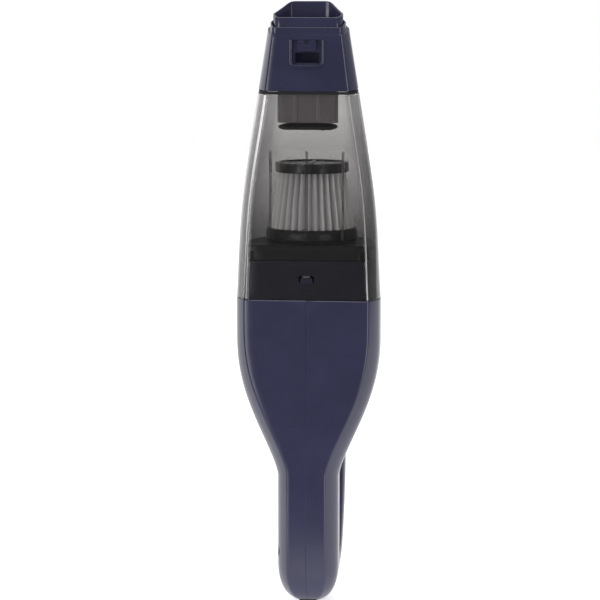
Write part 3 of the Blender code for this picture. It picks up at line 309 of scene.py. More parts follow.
def smokeLook(name, thin, thick):  # darker edge on, painted shade towards the foot on the walls behind the near face, and rub marks
    look, tree, shader, out = newLook(name)
    facing = tree.nodes.new("ShaderNodeLayerWeight")
    setInput(facing, "Blend", 0.35)
    tint = addMix(tree, addRange(tree, facing.outputs["Facing"], 0.10, 0.50, 0, 1), thin, thick)
    cloud = addNoise(tree, 14, 3, 0.5)
    tint = addMix(tree, addRange(tree, cloud, 0.3, 0.7, 0, 0.10), tint, thick)
    where = tree.nodes.new("ShaderNodeTexCoord")
    split = tree.nodes.new("ShaderNodeSeparateXYZ")
    setInput(split, 0, where.outputs["Object"])
    # painted shade: the side and back walls darken towards the foot
    foot = addRange(tree, split.outputs["Z"], *footShade["height"], 0, footShade["most"])
    side = addRange(tree, split.outputs["Y"], *footShade["depth"], 0, 1)
    deep = times(tree, foot, side)
    setInput(shader, "Base Color", addMix(tree, deep, tint, tuple(0.2 * c for c in thick)))
    rub = addNoise(tree, 260, 6, 0.7, (6, 6, 1))
    setInput(shader, "Roughness", addRange(tree, rub, 0.35, 0.8, 0.015, 0.06))
    setInput(shader, "IOR", 1.49)
    setInput(shader, "Transmission Weight", 1.0)
    setInput(shader, "Specular IOR Level", 0.2)
    addBump(tree, shader, addNoise(tree, 40, 2, 0.4), 0.03, 0.0004)
    path = tree.nodes.new("ShaderNodeLightPath")
    clear = tree.nodes.new("ShaderNodeBsdfTransparent")
    setInput(clear, "Color", (*[c * 0.97 for c in thin], 1))
    mix = tree.nodes.new("ShaderNodeMixShader")
    setInput(mix, 0, path.outputs["Is Shadow Ray"])
    setInput(mix, 1, shader.outputs[0])
    setInput(mix, 2, clear.outputs[0])
    setInput(out, 0, mix.outputs[0])
    return look


def boardLook(name):
    look, tree, shader, _ = newLook(name)
    coord = tree.nodes.new("ShaderNodeTexCoord")
    tracks = tree.nodes.new("ShaderNodeTexBrick")
    setInput(tracks, "Scale", 260)
    setInput(tracks, "Color1", (0.015, 0.10, 0.045, 1))
    setInput(tracks, "Color2", (0.02, 0.13, 0.06, 1))
    setInput(tracks, "Mortar", (0.06, 0.24, 0.10, 1))
    setInput(tracks, "Vector", coord.outputs["Object"])
    setInput(shader, "Base Color", tracks.outputs["Color"])
    setInput(shader, "Roughness", addRange(tree, addNoise(tree, 200), 0.3, 0.7, 0.3, 0.5))
    addBump(tree, shader, tracks.outputs["Fac"], 0.1, 0.0002)
    return look


# the bin's painted shade towards the foot: the heights and depths it fades over, and its strength
footShade = {"height": (0.365, 0.265), "depth": (-0.027, -0.012), "most": 0.95}
colours = {
    "navy": (0.034, 0.034, 0.078),
    "shadedNavy": (0.016, 0.016, 0.034),
    "smokeThin": (0.66, 0.65, 0.64),
    "smokeThick": (0.20, 0.195, 0.21),
    "black": (0.010, 0.010, 0.011),
    "ductGrey": (0.24, 0.22, 0.235),
    "rubber": (0.016, 0.016, 0.017),
}
navyLook = plasticLook("navySatin", colours["navy"], 0.20, grain=2200, depth=0.012, wear=0.30,
                       worn=(0.10, 0.10, 0.16))
# a darker copy of the navy: painted shade for the collar inside the bin
shadedNavyLook = plasticLook("darkNavySatin", colours["shadedNavy"], 0.32, depth=0.03)
blackLook = plasticLook("blackPlastic", colours["black"], 0.36, depth=0.04)
ductLook = plasticLook("ductGrey", colours["ductGrey"], 0.34, depth=0.04)
rubberLook = plasticLook("softRubber", colours["rubber"], 0.72, grain=900, depth=0.12, wear=0.1,
                         specular=0.35)
capLook = plasticLook("filterCap", (0.030, 0.030, 0.034), 0.26, depth=0.03)
flapLook = plasticLook("flapRubber", (0.030, 0.029, 0.030), 0.6, grain=900, depth=0.1, wear=0.15,
                       specular=0.4)
nylonLook = plasticLook("whiteNylon", (0.70, 0.70, 0.66), 0.45, depth=0.03, wear=0.1, worn=(0.8, 0.8, 0.78))
wrapLook = plasticLook("cellWrap", (0.05, 0.22, 0.35), 0.3, depth=0.02, wear=0.1)
redLook = plasticLook("redSleeve", (0.45, 0.02, 0.02), 0.45, depth=0.03)
lampLook = plasticLook("lampLens", (0.75, 0.76, 0.74), 0.2, depth=0.01, wear=0.05, coat=0.4)
steelLook = metalLook("brushedSteel", (0.55, 0.55, 0.56), 0.28)
paperWhite = paperLook("pleatedPaper")
smokeClear = smokeLook("smokeClear", colours["smokeThin"], colours["smokeThick"])
# a darker copy of the smoke finish, painted shade on the fins
smokeDark = smokeLook("smokeDark", (0.16, 0.155, 0.16), (0.05, 0.05, 0.055))
boardGreen = boardLook("boardGreen")
print("finishes made")


# the casing's sections follow the same rule as the frame's
lowOf = {name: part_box(name)[0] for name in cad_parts}
highOf = {name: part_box(name)[1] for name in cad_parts}

rooms = {"gap": 0.0003, "slide": 0.0006}  # between pieces that touch, and that slide
casing = {
    "wall": 0.0022, "near": lowOf["body_left"].y, "flare": 0.017, "edge": 0.0013,
    "spineFace": 0.01455, "spineHalf": 0.0226, "spineFar": 0.012677, "spineSquare": 3.3,
    "barrelFace": 0.046, "barrelHalf": 0.053, "barrelFar": 0.058, "square": 2.4,
    "seam": highOf["body_left"].z, "tailTip": 0.0009, "tailDome": 0.033,
    "waistBelowSeam": 0.1327, "shoulderBelowSeam": 0.026, "grooveWidth": 0.00052, "grooveDepth": 0.00020,
    "bevel": 0.0009, "bevelAngle": 20,
}
seamZ = casing["seam"]
waistZ = seamZ - casing["waistBelowSeam"]
shoulderZ = seamZ - casing["shoulderBelowSeam"]
tailTop = casing["tailTip"] + casing["tailDome"]
axisY = 0.5 * (lowOf["motor_can"].y + highOf["motor_can"].y)
nozzleZ = lowOf["nozzle_seal"].z
front = {
    "wall": 0.0020, "bulge": 0.0034, "topBulge": 0.0092, "baseFace": 0.0311, "baseHalf": 0.0368,
    "baseFar": 0.026, "length": 0.0435, "rise": 0.010, "draw": 0.006, "mouthFace": 0.0238,
    "mouthHalf": 0.0254, "mouthFarHalf": 0.0150, "mouthDepth": 0.0225, "chamfer": 0.0045,
    "setBack": 0.0021, "stand": 0.0120, "mouthRise": 0.0115, "rimRise": 0.015, "rimHeight": 0.0050,
    "room": 0.0020, "nozzleWall": 0.0018, "seal": 0.002, "collarStart": 0.0200,
}
rimZ = nozzleZ + front["length"]
lipZ = rimZ + front["stand"]


def makeSection(face, half, near, wide, far, edge, boxy=0.0, farHalf=0.0, square=2.4):
    return {"face": face, "half": half, "near": near, "wide": wide, "far": far, "edge": edge,
            "boxy": boxy, "farHalf": farHalf, "square": square}


def insetSection(s, depth):
    return {**s, "face": s["face"] - 0.9 * depth, "half": s["half"] - depth, "near": s["near"] + depth,
            "far": s["far"] - depth, "edge": max(s["edge"] - 0.5 * depth, 0.0005),
            "farHalf": s["farHalf"] - 0.6 * depth}


def shrinkSection(s, share):
    return {**s, **{key: s[key] * share for key in ("face", "half", "near", "wide", "far", "farHalf")}}


def roundEnds(points, count):  # spreads count points along a line of points
    marks = [i / (len(points) - 1) for i in range(len(points))]
    found = []
    for i in range(1, count + 1):
        p = i / count
        k = min(int(p * (len(points) - 1)), len(points) - 2)
        t = (p - marks[k]) / (marks[k + 1] - marks[k])
        found.append(tuple(a + (b - a) * t for a, b in zip(points[k], points[k + 1])))
    return found


def sideOutline(s, farSteps=40, flareSteps=12, faceSteps=6, bendSteps=6):
    corner = Vector((s["face"], s["near"]))
    flare = Vector((s["half"] - s["face"], s["wide"] - s["near"])).normalized()
    start = Vector((s["face"] - s["edge"], s["near"]))
    end = corner + flare * s["edge"]
    points = [(start.x * i / faceSteps, s["near"]) for i in range(faceSteps)]
    tilt = math.radians(casing["bevelAngle"])
    facet = min(casing["bevel"], 0.6 * s["edge"]) if s["edge"] < 0.0028 else 0.0
    if facet and (flare.x < 0.95):
        turned = start + facet * Vector((math.cos(tilt), math.sin(tilt)))
        meet = turned.lerp(end, 0.35) + 0.35 * (corner - start.lerp(end, 0.5))
        points += [tuple(start), tuple(start.lerp(turned, 0.5)), tuple(turned)]
        points += [curved(turned, meet, end, i / (bendSteps - 2)) for i in range(1, bendSteps - 1)]
    else:
        points += [curved(start, corner, end, i / bendSteps) for i in range(bendSteps + 1)]
    shoulder = (s["half"], s["wide"] - 0.4 * (s["wide"] - s["near"]))
    points += [curved(end, shoulder, (s["half"], s["wide"]), i / flareSteps)
               for i in range(1, flareSteps + 1)]
    boxed = None
    if s["boxy"] > 0:
        wide, top = Vector((s["half"], s["wide"])), Vector((s["farHalf"], s["far"]))
        before = top + (wide - top).normalized() * 0.003
        after = Vector((s["farHalf"] - 0.003, s["far"]))
        middle = Vector(curved(before, top, after, 0.5))
        boxed = roundEnds([tuple(wide), tuple(wide.lerp(before, 0.35)), tuple(wide.lerp(before, 0.7)),
                           tuple(before), tuple(middle), tuple(after),
                           (after.x * 0.5, s["far"]), (0, s["far"])], farSteps)
    bow = 2 / s["square"]
    for i in range(1, farSteps + 1):
        angle = math.pi / 2 * i / farSteps
        x = s["half"] * max(math.cos(angle), 0) ** bow if i < farSteps else 0.0
        y = s["wide"] + (s["far"] - s["wide"]) * math.sin(angle) ** bow
        if boxed:
            x += (boxed[i - 1][0] - x) * s["boxy"]
            y += (boxed[i - 1][1] - y) * s["boxy"]
        points.append((x, y))
    return points


def sectionRing(s, z, rise=0.0, **counts):
    right = sideOutline(s, **counts)
    left = [(-x, y) for x, y in right[-2:0:-1]]
    span = s["far"] - s["near"]
    return [Vector((x, y, z + rise * max((y - s["near"]) / span, 0) ** 1.25)) for x, y in right + left]


def swell(share):
    share = min(max(share, 0), 1)
    return 1 - (1 - share**1.4) ** 2.5


def bodySection(z):
    c = casing
    span = shoulderZ - waistZ
    wide = swell((z - waistZ) / span)
    face = swell((z - waistZ - 0.03 * span) / (1.04 * span))
    return makeSection(c["spineFace"] + (c["barrelFace"] - c["spineFace"]) * face,
                       c["spineHalf"] + (c["barrelHalf"] - c["spineHalf"]) * wide,
                       c["near"], c["near"] + c["flare"],
                       c["spineFar"] + (c["barrelFar"] - c["spineFar"]) * wide, c["edge"],
                       square=c["spineSquare"] + (c["square"] - c["spineSquare"]) * wide)


def frontSection(z):
    f, c = front, casing
    binLong = nozzleZ - seamZ
    middle = seamZ + 0.48 * binLong

    def profile(low, high, tip):
        return [(seamZ, low), (middle, low + (high - low) * 0.48 + f["bulge"]), (nozzleZ, high), (rimZ, tip)]
    draw = (z - seamZ) / (rimZ - seamZ)
    boxy = min(max((z - middle) / (rimZ - middle), 0), 1)
    near = c["near"] + f["draw"] * max(draw, 0)
    half = spline(profile(c["barrelHalf"], f["baseHalf"], f["mouthHalf"] + 2 * f["room"]), z)
    crown = 0.5 * (c["barrelFar"] + f["baseFar"]) + f["topBulge"]
    end = c["near"] + f["draw"] + f["mouthDepth"] + 2 * f["room"]
    far = spline([(seamZ, c["barrelFar"]), (middle, crown), (nozzleZ, f["baseFar"]), (rimZ, end)], z)
    return makeSection(spline(profile(c["barrelFace"], f["baseFace"], f["mouthFace"] + 0.0018), z), half,
                       near, near + c["flare"] * (1 - 0.32 * draw), far, c["edge"], boxy, half * 0.62)


def frontRise(z):
    return spline([(seamZ + 0.42 * (nozzleZ - seamZ), 0), (nozzleZ, front["rise"]), (rimZ, front["rimRise"])],
                  z)


def frontRings(heights, depth=0.0, **counts):
    return [sectionRing(insetSection(frontSection(z), depth), z, frontRise(z), **counts) for z in heights]


handle = {"half": 0.021, "thick": 0.024, "reach": 0.063677, "grip": waistZ + 0.018, "sliderAt": 0.235,
          "lampAt": 0.36, "gripScrewAt": 0.44, "heelScrewAt": 0.70, "narrowing": 0.10, "narrowFrom": 0.8}


def handleKnots():
    reach, grip = handle["reach"], handle["grip"]
    return [Vector((0, y, z)) for y, z in (
        (casing["barrelFar"] - 0.018, seamZ - 0.012), (reach - 0.006, seamZ - 0.039), (reach, seamZ - 0.074),
        (reach - 0.001, grip), (reach - 0.008, grip - 0.038), (reach - 0.021, grip - 0.068),
        (reach - 0.040, grip - 0.090), (reach - 0.061, grip - 0.101))]


def handlePoint(share):
    knots = handleKnots()
    place = share * (len(knots) - 1)
    i = min(int(place), len(knots) - 2)
    t = place - i
    a, b, c, d = knots[max(i - 1, 0)], knots[i], knots[i + 1], knots[min(i + 2, len(knots) - 1)]
    centre = 0.5 * (2 * b + (c - a) * t + (2 * a - 5 * b + 4 * c - d) * t**2 + (3 * b - a - 3 * c + d) * t**3)
    along = 0.5 * ((c - a) + 2 * (2 * a - 5 * b + 4 * c - d) * t + 3 * (3 * b - a - 3 * c + d) * t**2)
    return centre, along.normalized()


def handleFrame(share):  # x across, y to the nozzle, z out of the skin
    centre, along = handlePoint(share)
    out = Vector((0, -along.z, along.y))
    if out.y < 0:
        out = -out
    turn = Matrix((Vector((1, 0, 0)), -along, out)).transposed()
    return Matrix.Translation(centre + out * handle["thick"] / 2) @ turn.to_4x4()


def handleLoft(name, depth, ringCount=96, sides=72):
    rings = []
    for i in range(ringCount + 1):
        share = i / ringCount
        centre, along = handlePoint(share)
        out = Vector((0, -along.z, along.y))
        narrow = handle["narrowing"] * max(share - handle["narrowFrom"], 0) / 0.2
        half = handle["half"] * (1 - narrow) - depth
        thick = handle["thick"] / 2 - depth
        ring = []
        for k in range(sides):
            angle = 2 * math.pi * k / sides
            bow = 2 / 2.7
            x = half * math.copysign(abs(math.cos(angle)) ** bow, math.cos(angle))
            y = thick * math.copysign(abs(math.sin(angle)) ** bow, math.sin(angle))
            ring.append(centre + Vector((x, 0, 0)) + out * y)
        rings.append(ring)
    return loftPiece(name, rings)


def bodyRings(depth, top, coarse=1):
    counts = {"farSteps": 40 // coarse, "flareSteps": 12 // coarse, "faceSteps": 6 // coarse,
              "bendSteps": 6 // coarse}
    rings = []
    dome = casing["tailDome"] - 1.6 * depth
    bow = 2 / casing["square"]
    tail = insetSection(bodySection(tailTop), depth)
    for i in range(1, 25 // coarse + 1):
        angle = math.radians(4 + 86 * (i - 1) / (25 // coarse - 1))
        share = math.sin(angle) ** bow
        drop = dome * max(math.cos(angle), 0) ** bow
        rings.append(sectionRing(shrinkSection(tail, share), tailTop - drop, **counts))
    heights = shares(tailTop, waistZ, 10 // coarse)[1:] + shares(waistZ, shoulderZ, 72 // coarse)[1:]
    heights += shares(shoulderZ, top - 0.0005, 3)[1:]
    rings += [sectionRing(insetSection(bodySection(z), depth), z, **counts) for z in heights]
    rings.append(sectionRing(insetSection(bodySection(top), depth + (0.0004 if depth == 0 else 0)), top,
                             **counts))
    return rings


def grooveTool(name, rings):  # a fine V along the joint line round the casing
    w, d = casing["grooveWidth"], casing["grooveDepth"]
    path = [ring[0] for ring in rings[2:]]
    rows = []
    for i, point in enumerate(path):
        ahead = path[min(i + 1, len(path) - 1)] - path[max(i - 1, 0)]
        out = Vector((0, -ahead.z, ahead.y)).normalized()
        if out.y > 0 and i > 3:
            out = -out
        rows.append([point + Vector((w, 0, 0)) + out * 0.0002, point - out * d,
                     point - Vector((w, 0, 0)) + out * 0.0002, point + out * 0.001])
    return loftPiece(name, rows)


def screwPlaces():
    grip, heel = handlePoint(handle["gripScrewAt"])[0], handlePoint(handle["heelScrewAt"])[0]
    return {"shoulder": (casing["barrelFar"] - 0.014, seamZ - 0.044), "grip": (grip.y, grip.z),
            "heel": (heel.y, heel.z), "tail": (casing["spineFar"] - 0.008, tailTop - 0.010),
            "waist": (casing["spineFar"] + 0.002, lowOf["circuit_board"].z + 0.004)}


def crossBars(name, radius, low, high, sides=40):
    return [barPiece(name + place, (low, y, z), (high, y, z), radius, sides)
            for place, (y, z) in screwPlaces().items()]


def newTree(name, inputs):  # inputs: label, socket kind, value
    tree = bpy.data.node_groups.new(name, "GeometryNodeTree")
    tree.is_modifier = True
    tree.interface.new_socket("Geometry", in_out="INPUT", socket_type="NodeSocketGeometry")
    for label, kind, value in inputs:
        socket = tree.interface.new_socket(label, in_out="INPUT", socket_type="NodeSocket" + kind)
        if value is not None:
            socket.default_value = value
    tree.interface.new_socket("Geometry", in_out="OUTPUT", socket_type="NodeSocketGeometry")
    return tree, tree.nodes.new("NodeGroupInput").outputs, tree.nodes.new("NodeGroupOutput")


def endTree(tree, geometry, given, out):
    realize = tree.nodes.new("GeometryNodeRealizeInstances")
    setMaterial = tree.nodes.new("GeometryNodeSetMaterial")
    setInput(realize, "Geometry", geometry)
    setInput(setMaterial, "Geometry", realize.outputs["Geometry"])
    setInput(setMaterial, "Material", given["Material"])
    setInput(out, "Geometry", setMaterial.outputs["Geometry"])


def treePiece(name, tree, values, points=None):  # keeps the plain mesh that the tree makes
    mesh = bpy.data.meshes.new(name + "Points")
    mesh.from_pydata([tuple(p) for p in points or [(0, 0, 0)]], [], [])
    carrier = addPiece(name + "Carrier", mesh)
    step = carrier.modifiers.new(tree.name, "NODES")
    step.node_group = tree
    sockets = {item.name: item.identifier for item in tree.interface.items_tree if item.in_out == "INPUT"}
    for label, value in values.items():
        step[sockets[label]] = value
    bpy.context.view_layer.update()
    graph = bpy.context.evaluated_depsgraph_get()
    made = bpy.data.meshes.new_from_object(carrier.evaluated_get(graph))
    bpy.data.objects.remove(carrier)
    return addPiece(name, made)


def capsuleRowTree():  # slots with round ends, each a squashed tube
    tree, given, out = newTree("capsuleRow", [
        ("Count", "Int", 5), ("Pitch", "Float", 0.006), ("Width", "Float", 0.0022),
        ("Length", "Float", 0.028), ("Depth", "Float", 0.05), ("Start", "Vector", (0, 0, 0)),
        ("Material", "Material", None)])
    nodes, link = tree.nodes, tree.links.new
    line = nodes.new("GeometryNodeMeshLine")
    step = nodes.new("ShaderNodeCombineXYZ")
    link(given["Count"], line.inputs["Count"])
    link(given["Start"], line.inputs["Start Location"])
    link(given["Pitch"], step.inputs["Y"])
    link(step.outputs[0], line.inputs["Offset"])
    radius = times(tree, given["Width"], 0.5)
    tube = nodes.new("GeometryNodeMeshCylinder")
    setInput(tube, "Vertices", 32)
    link(radius, tube.inputs["Radius"])
    link(given["Depth"], tube.inputs["Depth"])
    turn = nodes.new("GeometryNodeTransform")
    setInput(turn, "Rotation", (0, math.pi / 2, 0))
    link(tube.outputs["Mesh"], turn.inputs["Geometry"])
    place = nodes.new("GeometryNodeInputPosition")
    part = nodes.new("ShaderNodeSeparateXYZ")
    link(place.outputs[0], part.inputs[0])
    side = addMath(tree, "SIGN", addMath(tree, "ADD", part.outputs["Z"], 1e-7))
    stretch = times(tree, side, minus(tree, times(tree, given["Length"], 0.5), radius))
    shift = nodes.new("ShaderNodeCombineXYZ")
    link(stretch, shift.inputs["Z"])
    move = nodes.new("GeometryNodeSetPosition")
    link(turn.outputs["Geometry"], move.inputs["Geometry"])
    link(shift.outputs[0], move.inputs["Offset"])
    copies = nodes.new("GeometryNodeInstanceOnPoints")
    link(line.outputs["Mesh"], copies.inputs["Points"])
    link(move.outputs["Geometry"], copies.inputs["Instance"])
    endTree(tree, copies.outputs["Instances"], given, out)
    return tree


vents = {"count": 5, "width": 0.0022, "length": 0.028, "pitch": 0.006, "low": lowOf["motor_can"].z - 0.010,
         "first": -0.004}
slotTree = capsuleRowTree()


def ventTools(side):
    return treePiece("ventTool", slotTree, {
        "Count": vents["count"], "Pitch": vents["pitch"], "Width": vents["width"], "Length": vents["length"],
        "Depth": 0.076, "Start": (side * 0.062, axisY + vents["first"] + 0.5 * vents["width"],
                                  vents["low"] + 0.5 * vents["length"]), "Material": navyLook})


controls = {"buttonHalf": 0.009, "buttonLong": 0.016, "buttonBelowSeam": 0.0055, "sliderHalf": 0.0065,
            "sliderLong": 0.020, "sliderTravel": 0.006, "lampRadius": 0.0016, "jackRadius": 0.0036,
            "buttonPlate": 0.0015, "buttonSink": 0.0012, "latch": 0.009}
dock = {"pocket": ((-0.0068, -0.0165, -0.01), (0.0068, 0.0044, 0.0075)),
        "base": ((-0.0065, -0.0153, 0.0026), (0.0065, 0.0041, 0.0072)),
        "tongue": ((-0.0040, -0.0060, 0.0065), (0.0040, 0.0004, 0.0115)),
        "foot": ((-0.0042, -0.0042, 0), (0.0042, 0.0036, 0.003))}
screwSizes = {"head": 0.0027, "bossWall": 0.0014, "well": 0.0030, "wellDepth": -0.0070, "way": 0.00155,
              "pilot": 0.0014, "reach": 0.0107, "seat": -0.0073}
buttonLow = seamZ - controls["buttonBelowSeam"] - controls["buttonLong"]
jackY = 0.5 * (lowOf["charge_jack"].y + highOf["charge_jack"].y)
jackZ = 0.5 * (lowOf["charge_jack"].z + highOf["charge_jack"].z)
sliderFrame, lampFrame = handleFrame(handle["sliderAt"]), handleFrame(handle["lampAt"])


def makeBody():
    outerRings = bodyRings(0, seamZ)
    skin = combine(loftPiece("skin", outerRings), [handleLoft("handleSkin", 0)], "UNION")
    room = combine(loftPiece("room", bodyRings(casing["wall"], seamZ + 0.002, 2)),
                   [handleLoft("handleRoom", casing["wall"], 48, 36)], "UNION")
    boss = screwSizes["head"] + rooms["gap"] + screwSizes["bossWall"]
    room = combine(room, crossBars("boss", boss, -0.08, 0.08))
    shell = combine(skin, [room])
    gap, far = rooms["gap"], casing["barrelFar"]
    half = controls["buttonHalf"]
    window = boxPiece("window", (-half - gap, far - 0.008, buttonLow - gap),
                      (half + gap, far + 0.01, buttonLow + controls["buttonLong"] + gap), soft=0.0012)
    slotHalf = 0.5 * (controls["sliderLong"] - 0.010 + controls["sliderTravel"]) + gap
    slide = rooms["slide"]
    landHalf = 0.5 * (controls["sliderLong"] + controls["sliderTravel"]) + slide
    wide = controls["sliderHalf"]
    land = boxPiece("land", (-wide - slide, -landHalf, -0.0008), (wide + slide, landHalf, 0.008), sliderFrame,
                    0.0006)
    slot = boxPiece("slot", (-wide + 0.002 - gap, -slotHalf, -0.006), (wide - 0.002 + gap, slotHalf, 0.008),
                    sliderFrame, 0.0006)
    pocket = boxPiece("pocket", *dock["pocket"], soft=0.0008)
    lamp = barPiece("lamp", (0, 0, -0.006), (0, 0, 0.006), controls["lampRadius"] + gap, 40, lampFrame)
    groove = grooveTool("groove", outerRings)
    shell = combine(shell, [window, land, slot, pocket, lamp, groove])
    for side, node in ((-1, "body_left"), (1, "body_right")):
        edges = sorted((side * 0.00004, side * 0.1))
        keep = boxPiece("keep", (edges[0], -0.1, -0.1), (edges[1], 0.2, seamZ + 0.1))
        piece = combine(addPiece("casing" + ("Left" if side < 0 else "Right"), shell.data.copy()), [keep],
                        "INTERSECT")
        combine(piece, [ventTools(side)])
        if side < 0:
            combine(piece, crossBars("headWell", screwSizes["well"], -0.1, screwSizes["wellDepth"])
                    + crossBars("way", screwSizes["way"], -0.1, 0.01, 24))
            radius = controls["jackRadius"] + gap
            combine(piece, [barPiece("jackWay", (-0.1, jackY, jackZ), (0, jackY, jackZ), radius, 64)])
        else:
            combine(piece, crossBars("pilot", screwSizes["pilot"], -0.01, screwSizes["reach"], 24))
        finishPiece(piece, navyLook, "body", [node], 34)
        print(piece.name, len(piece.data.polygons), "faces")
    bpy.data.objects.remove(shell)


makeBody()
print("casing halves made")


def makeControls():
    c = controls
    half, low, high, skin = c["buttonHalf"], buttonLow, buttonLow + c["buttonLong"], casing["barrelFar"]
    flange, lip = skin - casing["wall"] - rooms["slide"] - c["buttonSink"], c["buttonPlate"]
    cap = boxPiece("releaseButton", (-half, flange - 0.001, low), (half, skin + 0.0016, high), soft=0.0011,
                   steps=4)
    plate = boxPiece("plate", (-half - lip, flange - 0.0025, low - lip), (half + lip, flange, high + lip),
                     soft=0.0004)
    latchTop = seamZ + c["latch"]
    arm = boxPiece("arm", (-0.006, flange - 0.0025, high), (0.006, flange - 0.0007, latchTop), soft=0.0003)
    nose = boxPiece("nose", (-0.006, flange - 0.0020, latchTop - 0.004),
                    (0.006, frontSection(latchTop)["far"] - 0.0044, latchTop), soft=0.0003)
    button = combine(cap, [plate, arm, nose], "UNION")
    dents = treePiece("dents", slotTree, {"Count": 5, "Pitch": 0.0022, "Width": 0.0009, "Length": 0.0107,
                                          "Depth": 0.0012, "Start": (0, 0, 0), "Material": navyLook})
    # the dent rows run along x on the button's face
    spin = Matrix(((0, 0, 1, 0), (1, 0, 0, 0), (0, 1, 0, 0), (0, 0, 0, 1)))
    dents.data.transform(Matrix.Translation((0, skin + 0.0018, 0.5 * (low + high) - 0.0044)) @ spin)
    button = combine(button, [dents])
    finishPiece(button, navyLook, "button", ["release_button"], 30)

    frameOf, back = sliderFrame, -c["sliderTravel"] / 2
    wide, long = c["sliderHalf"], c["sliderLong"] / 2
    neck = long - 0.005
    cap = boxPiece("powerSlider", (-wide, back - long, -0.0004), (wide, back + long, 0.0026), frameOf, 0.0008,
                   4)
    stem = boxPiece("stem", (-wide + 0.002, back - neck, -0.0045), (wide - 0.002, back + neck, 0.001),
                    frameOf)
    foot = boxPiece("foot", (-wide + 0.0005, back - neck - 0.0010, -0.0045),
                    (wide - 0.0005, back + neck + 0.0010, -0.0034), frameOf)
    slider = combine(cap, [stem, foot], "UNION")
    ribs = treePiece("ribs", slotTree, {"Count": 6, "Pitch": 0.0024, "Width": 0.0010, "Length": 0.0098,
                                        "Depth": 0.0012, "Start": (0, 0, 0), "Material": blackLook})
    turn = Matrix(((0, 0, 1, 0), (0, 1, 0, 0), (-1, 0, 0, 0), (0, 0, 0, 1)))
    ribs.data.transform(frameOf @ Matrix.Translation((0, back - 0.0060, 0.0027)) @ turn)
    slider = combine(slider, [ribs])
    finishPiece(slider, blackLook, "slider", ["power_switch"], 30)

    lens = barPiece("chargeLamp", (0, 0, -0.004), (0, 0, 0.0004), c["lampRadius"], 48, lampFrame, 0.0003)
    foot = barPiece("lampFoot", (0, 0, -0.005), (0, 0, -0.0028), c["lampRadius"] + 0.001, 48, lampFrame)
    finishPiece(combine(lens, [foot], "UNION"), lampLook, "body", ["charge_lamp"], 30)

    face = lowOf["charge_jack"].x
    back = highOf["charge_jack"].x
    seat = -casing["spineHalf"] + 2 * casing["wall"] + 0.0012

    def bar(name, start, end, radius, soft=0.0):
        return barPiece(name, (start, jackY, jackZ), (end, jackY, jackZ), radius, 64, soft=soft)
    jack = combine(bar("chargeJack", face, back, c["jackRadius"], 0.0003),
                   [bar("collar", seat, back, c["jackRadius"] + 0.0012)], "UNION")
    jack = combine(jack, [bar("bore", face - 0.001, back - 0.002, c["jackRadius"] - 0.0009)])
    jack = combine(jack, [bar("pin", face + 0.0012, back - 0.0015, 0.0008, 0.0003)], "UNION")
    finishPiece(jack, blackLook, "body", ["charge_jack"], 30)

    base = boxPiece("dockBlock", *dock["base"], soft=0.0005)
    tongue = boxPiece("tongue", *dock["tongue"])
    foot = boxPiece("foot", *dock["foot"], soft=0.0005)
    finishPiece(combine(base, [tongue, foot], "UNION"), blackLook, "body", ["dock_block"],
                30)
    print("controls and sockets made")


makeControls()


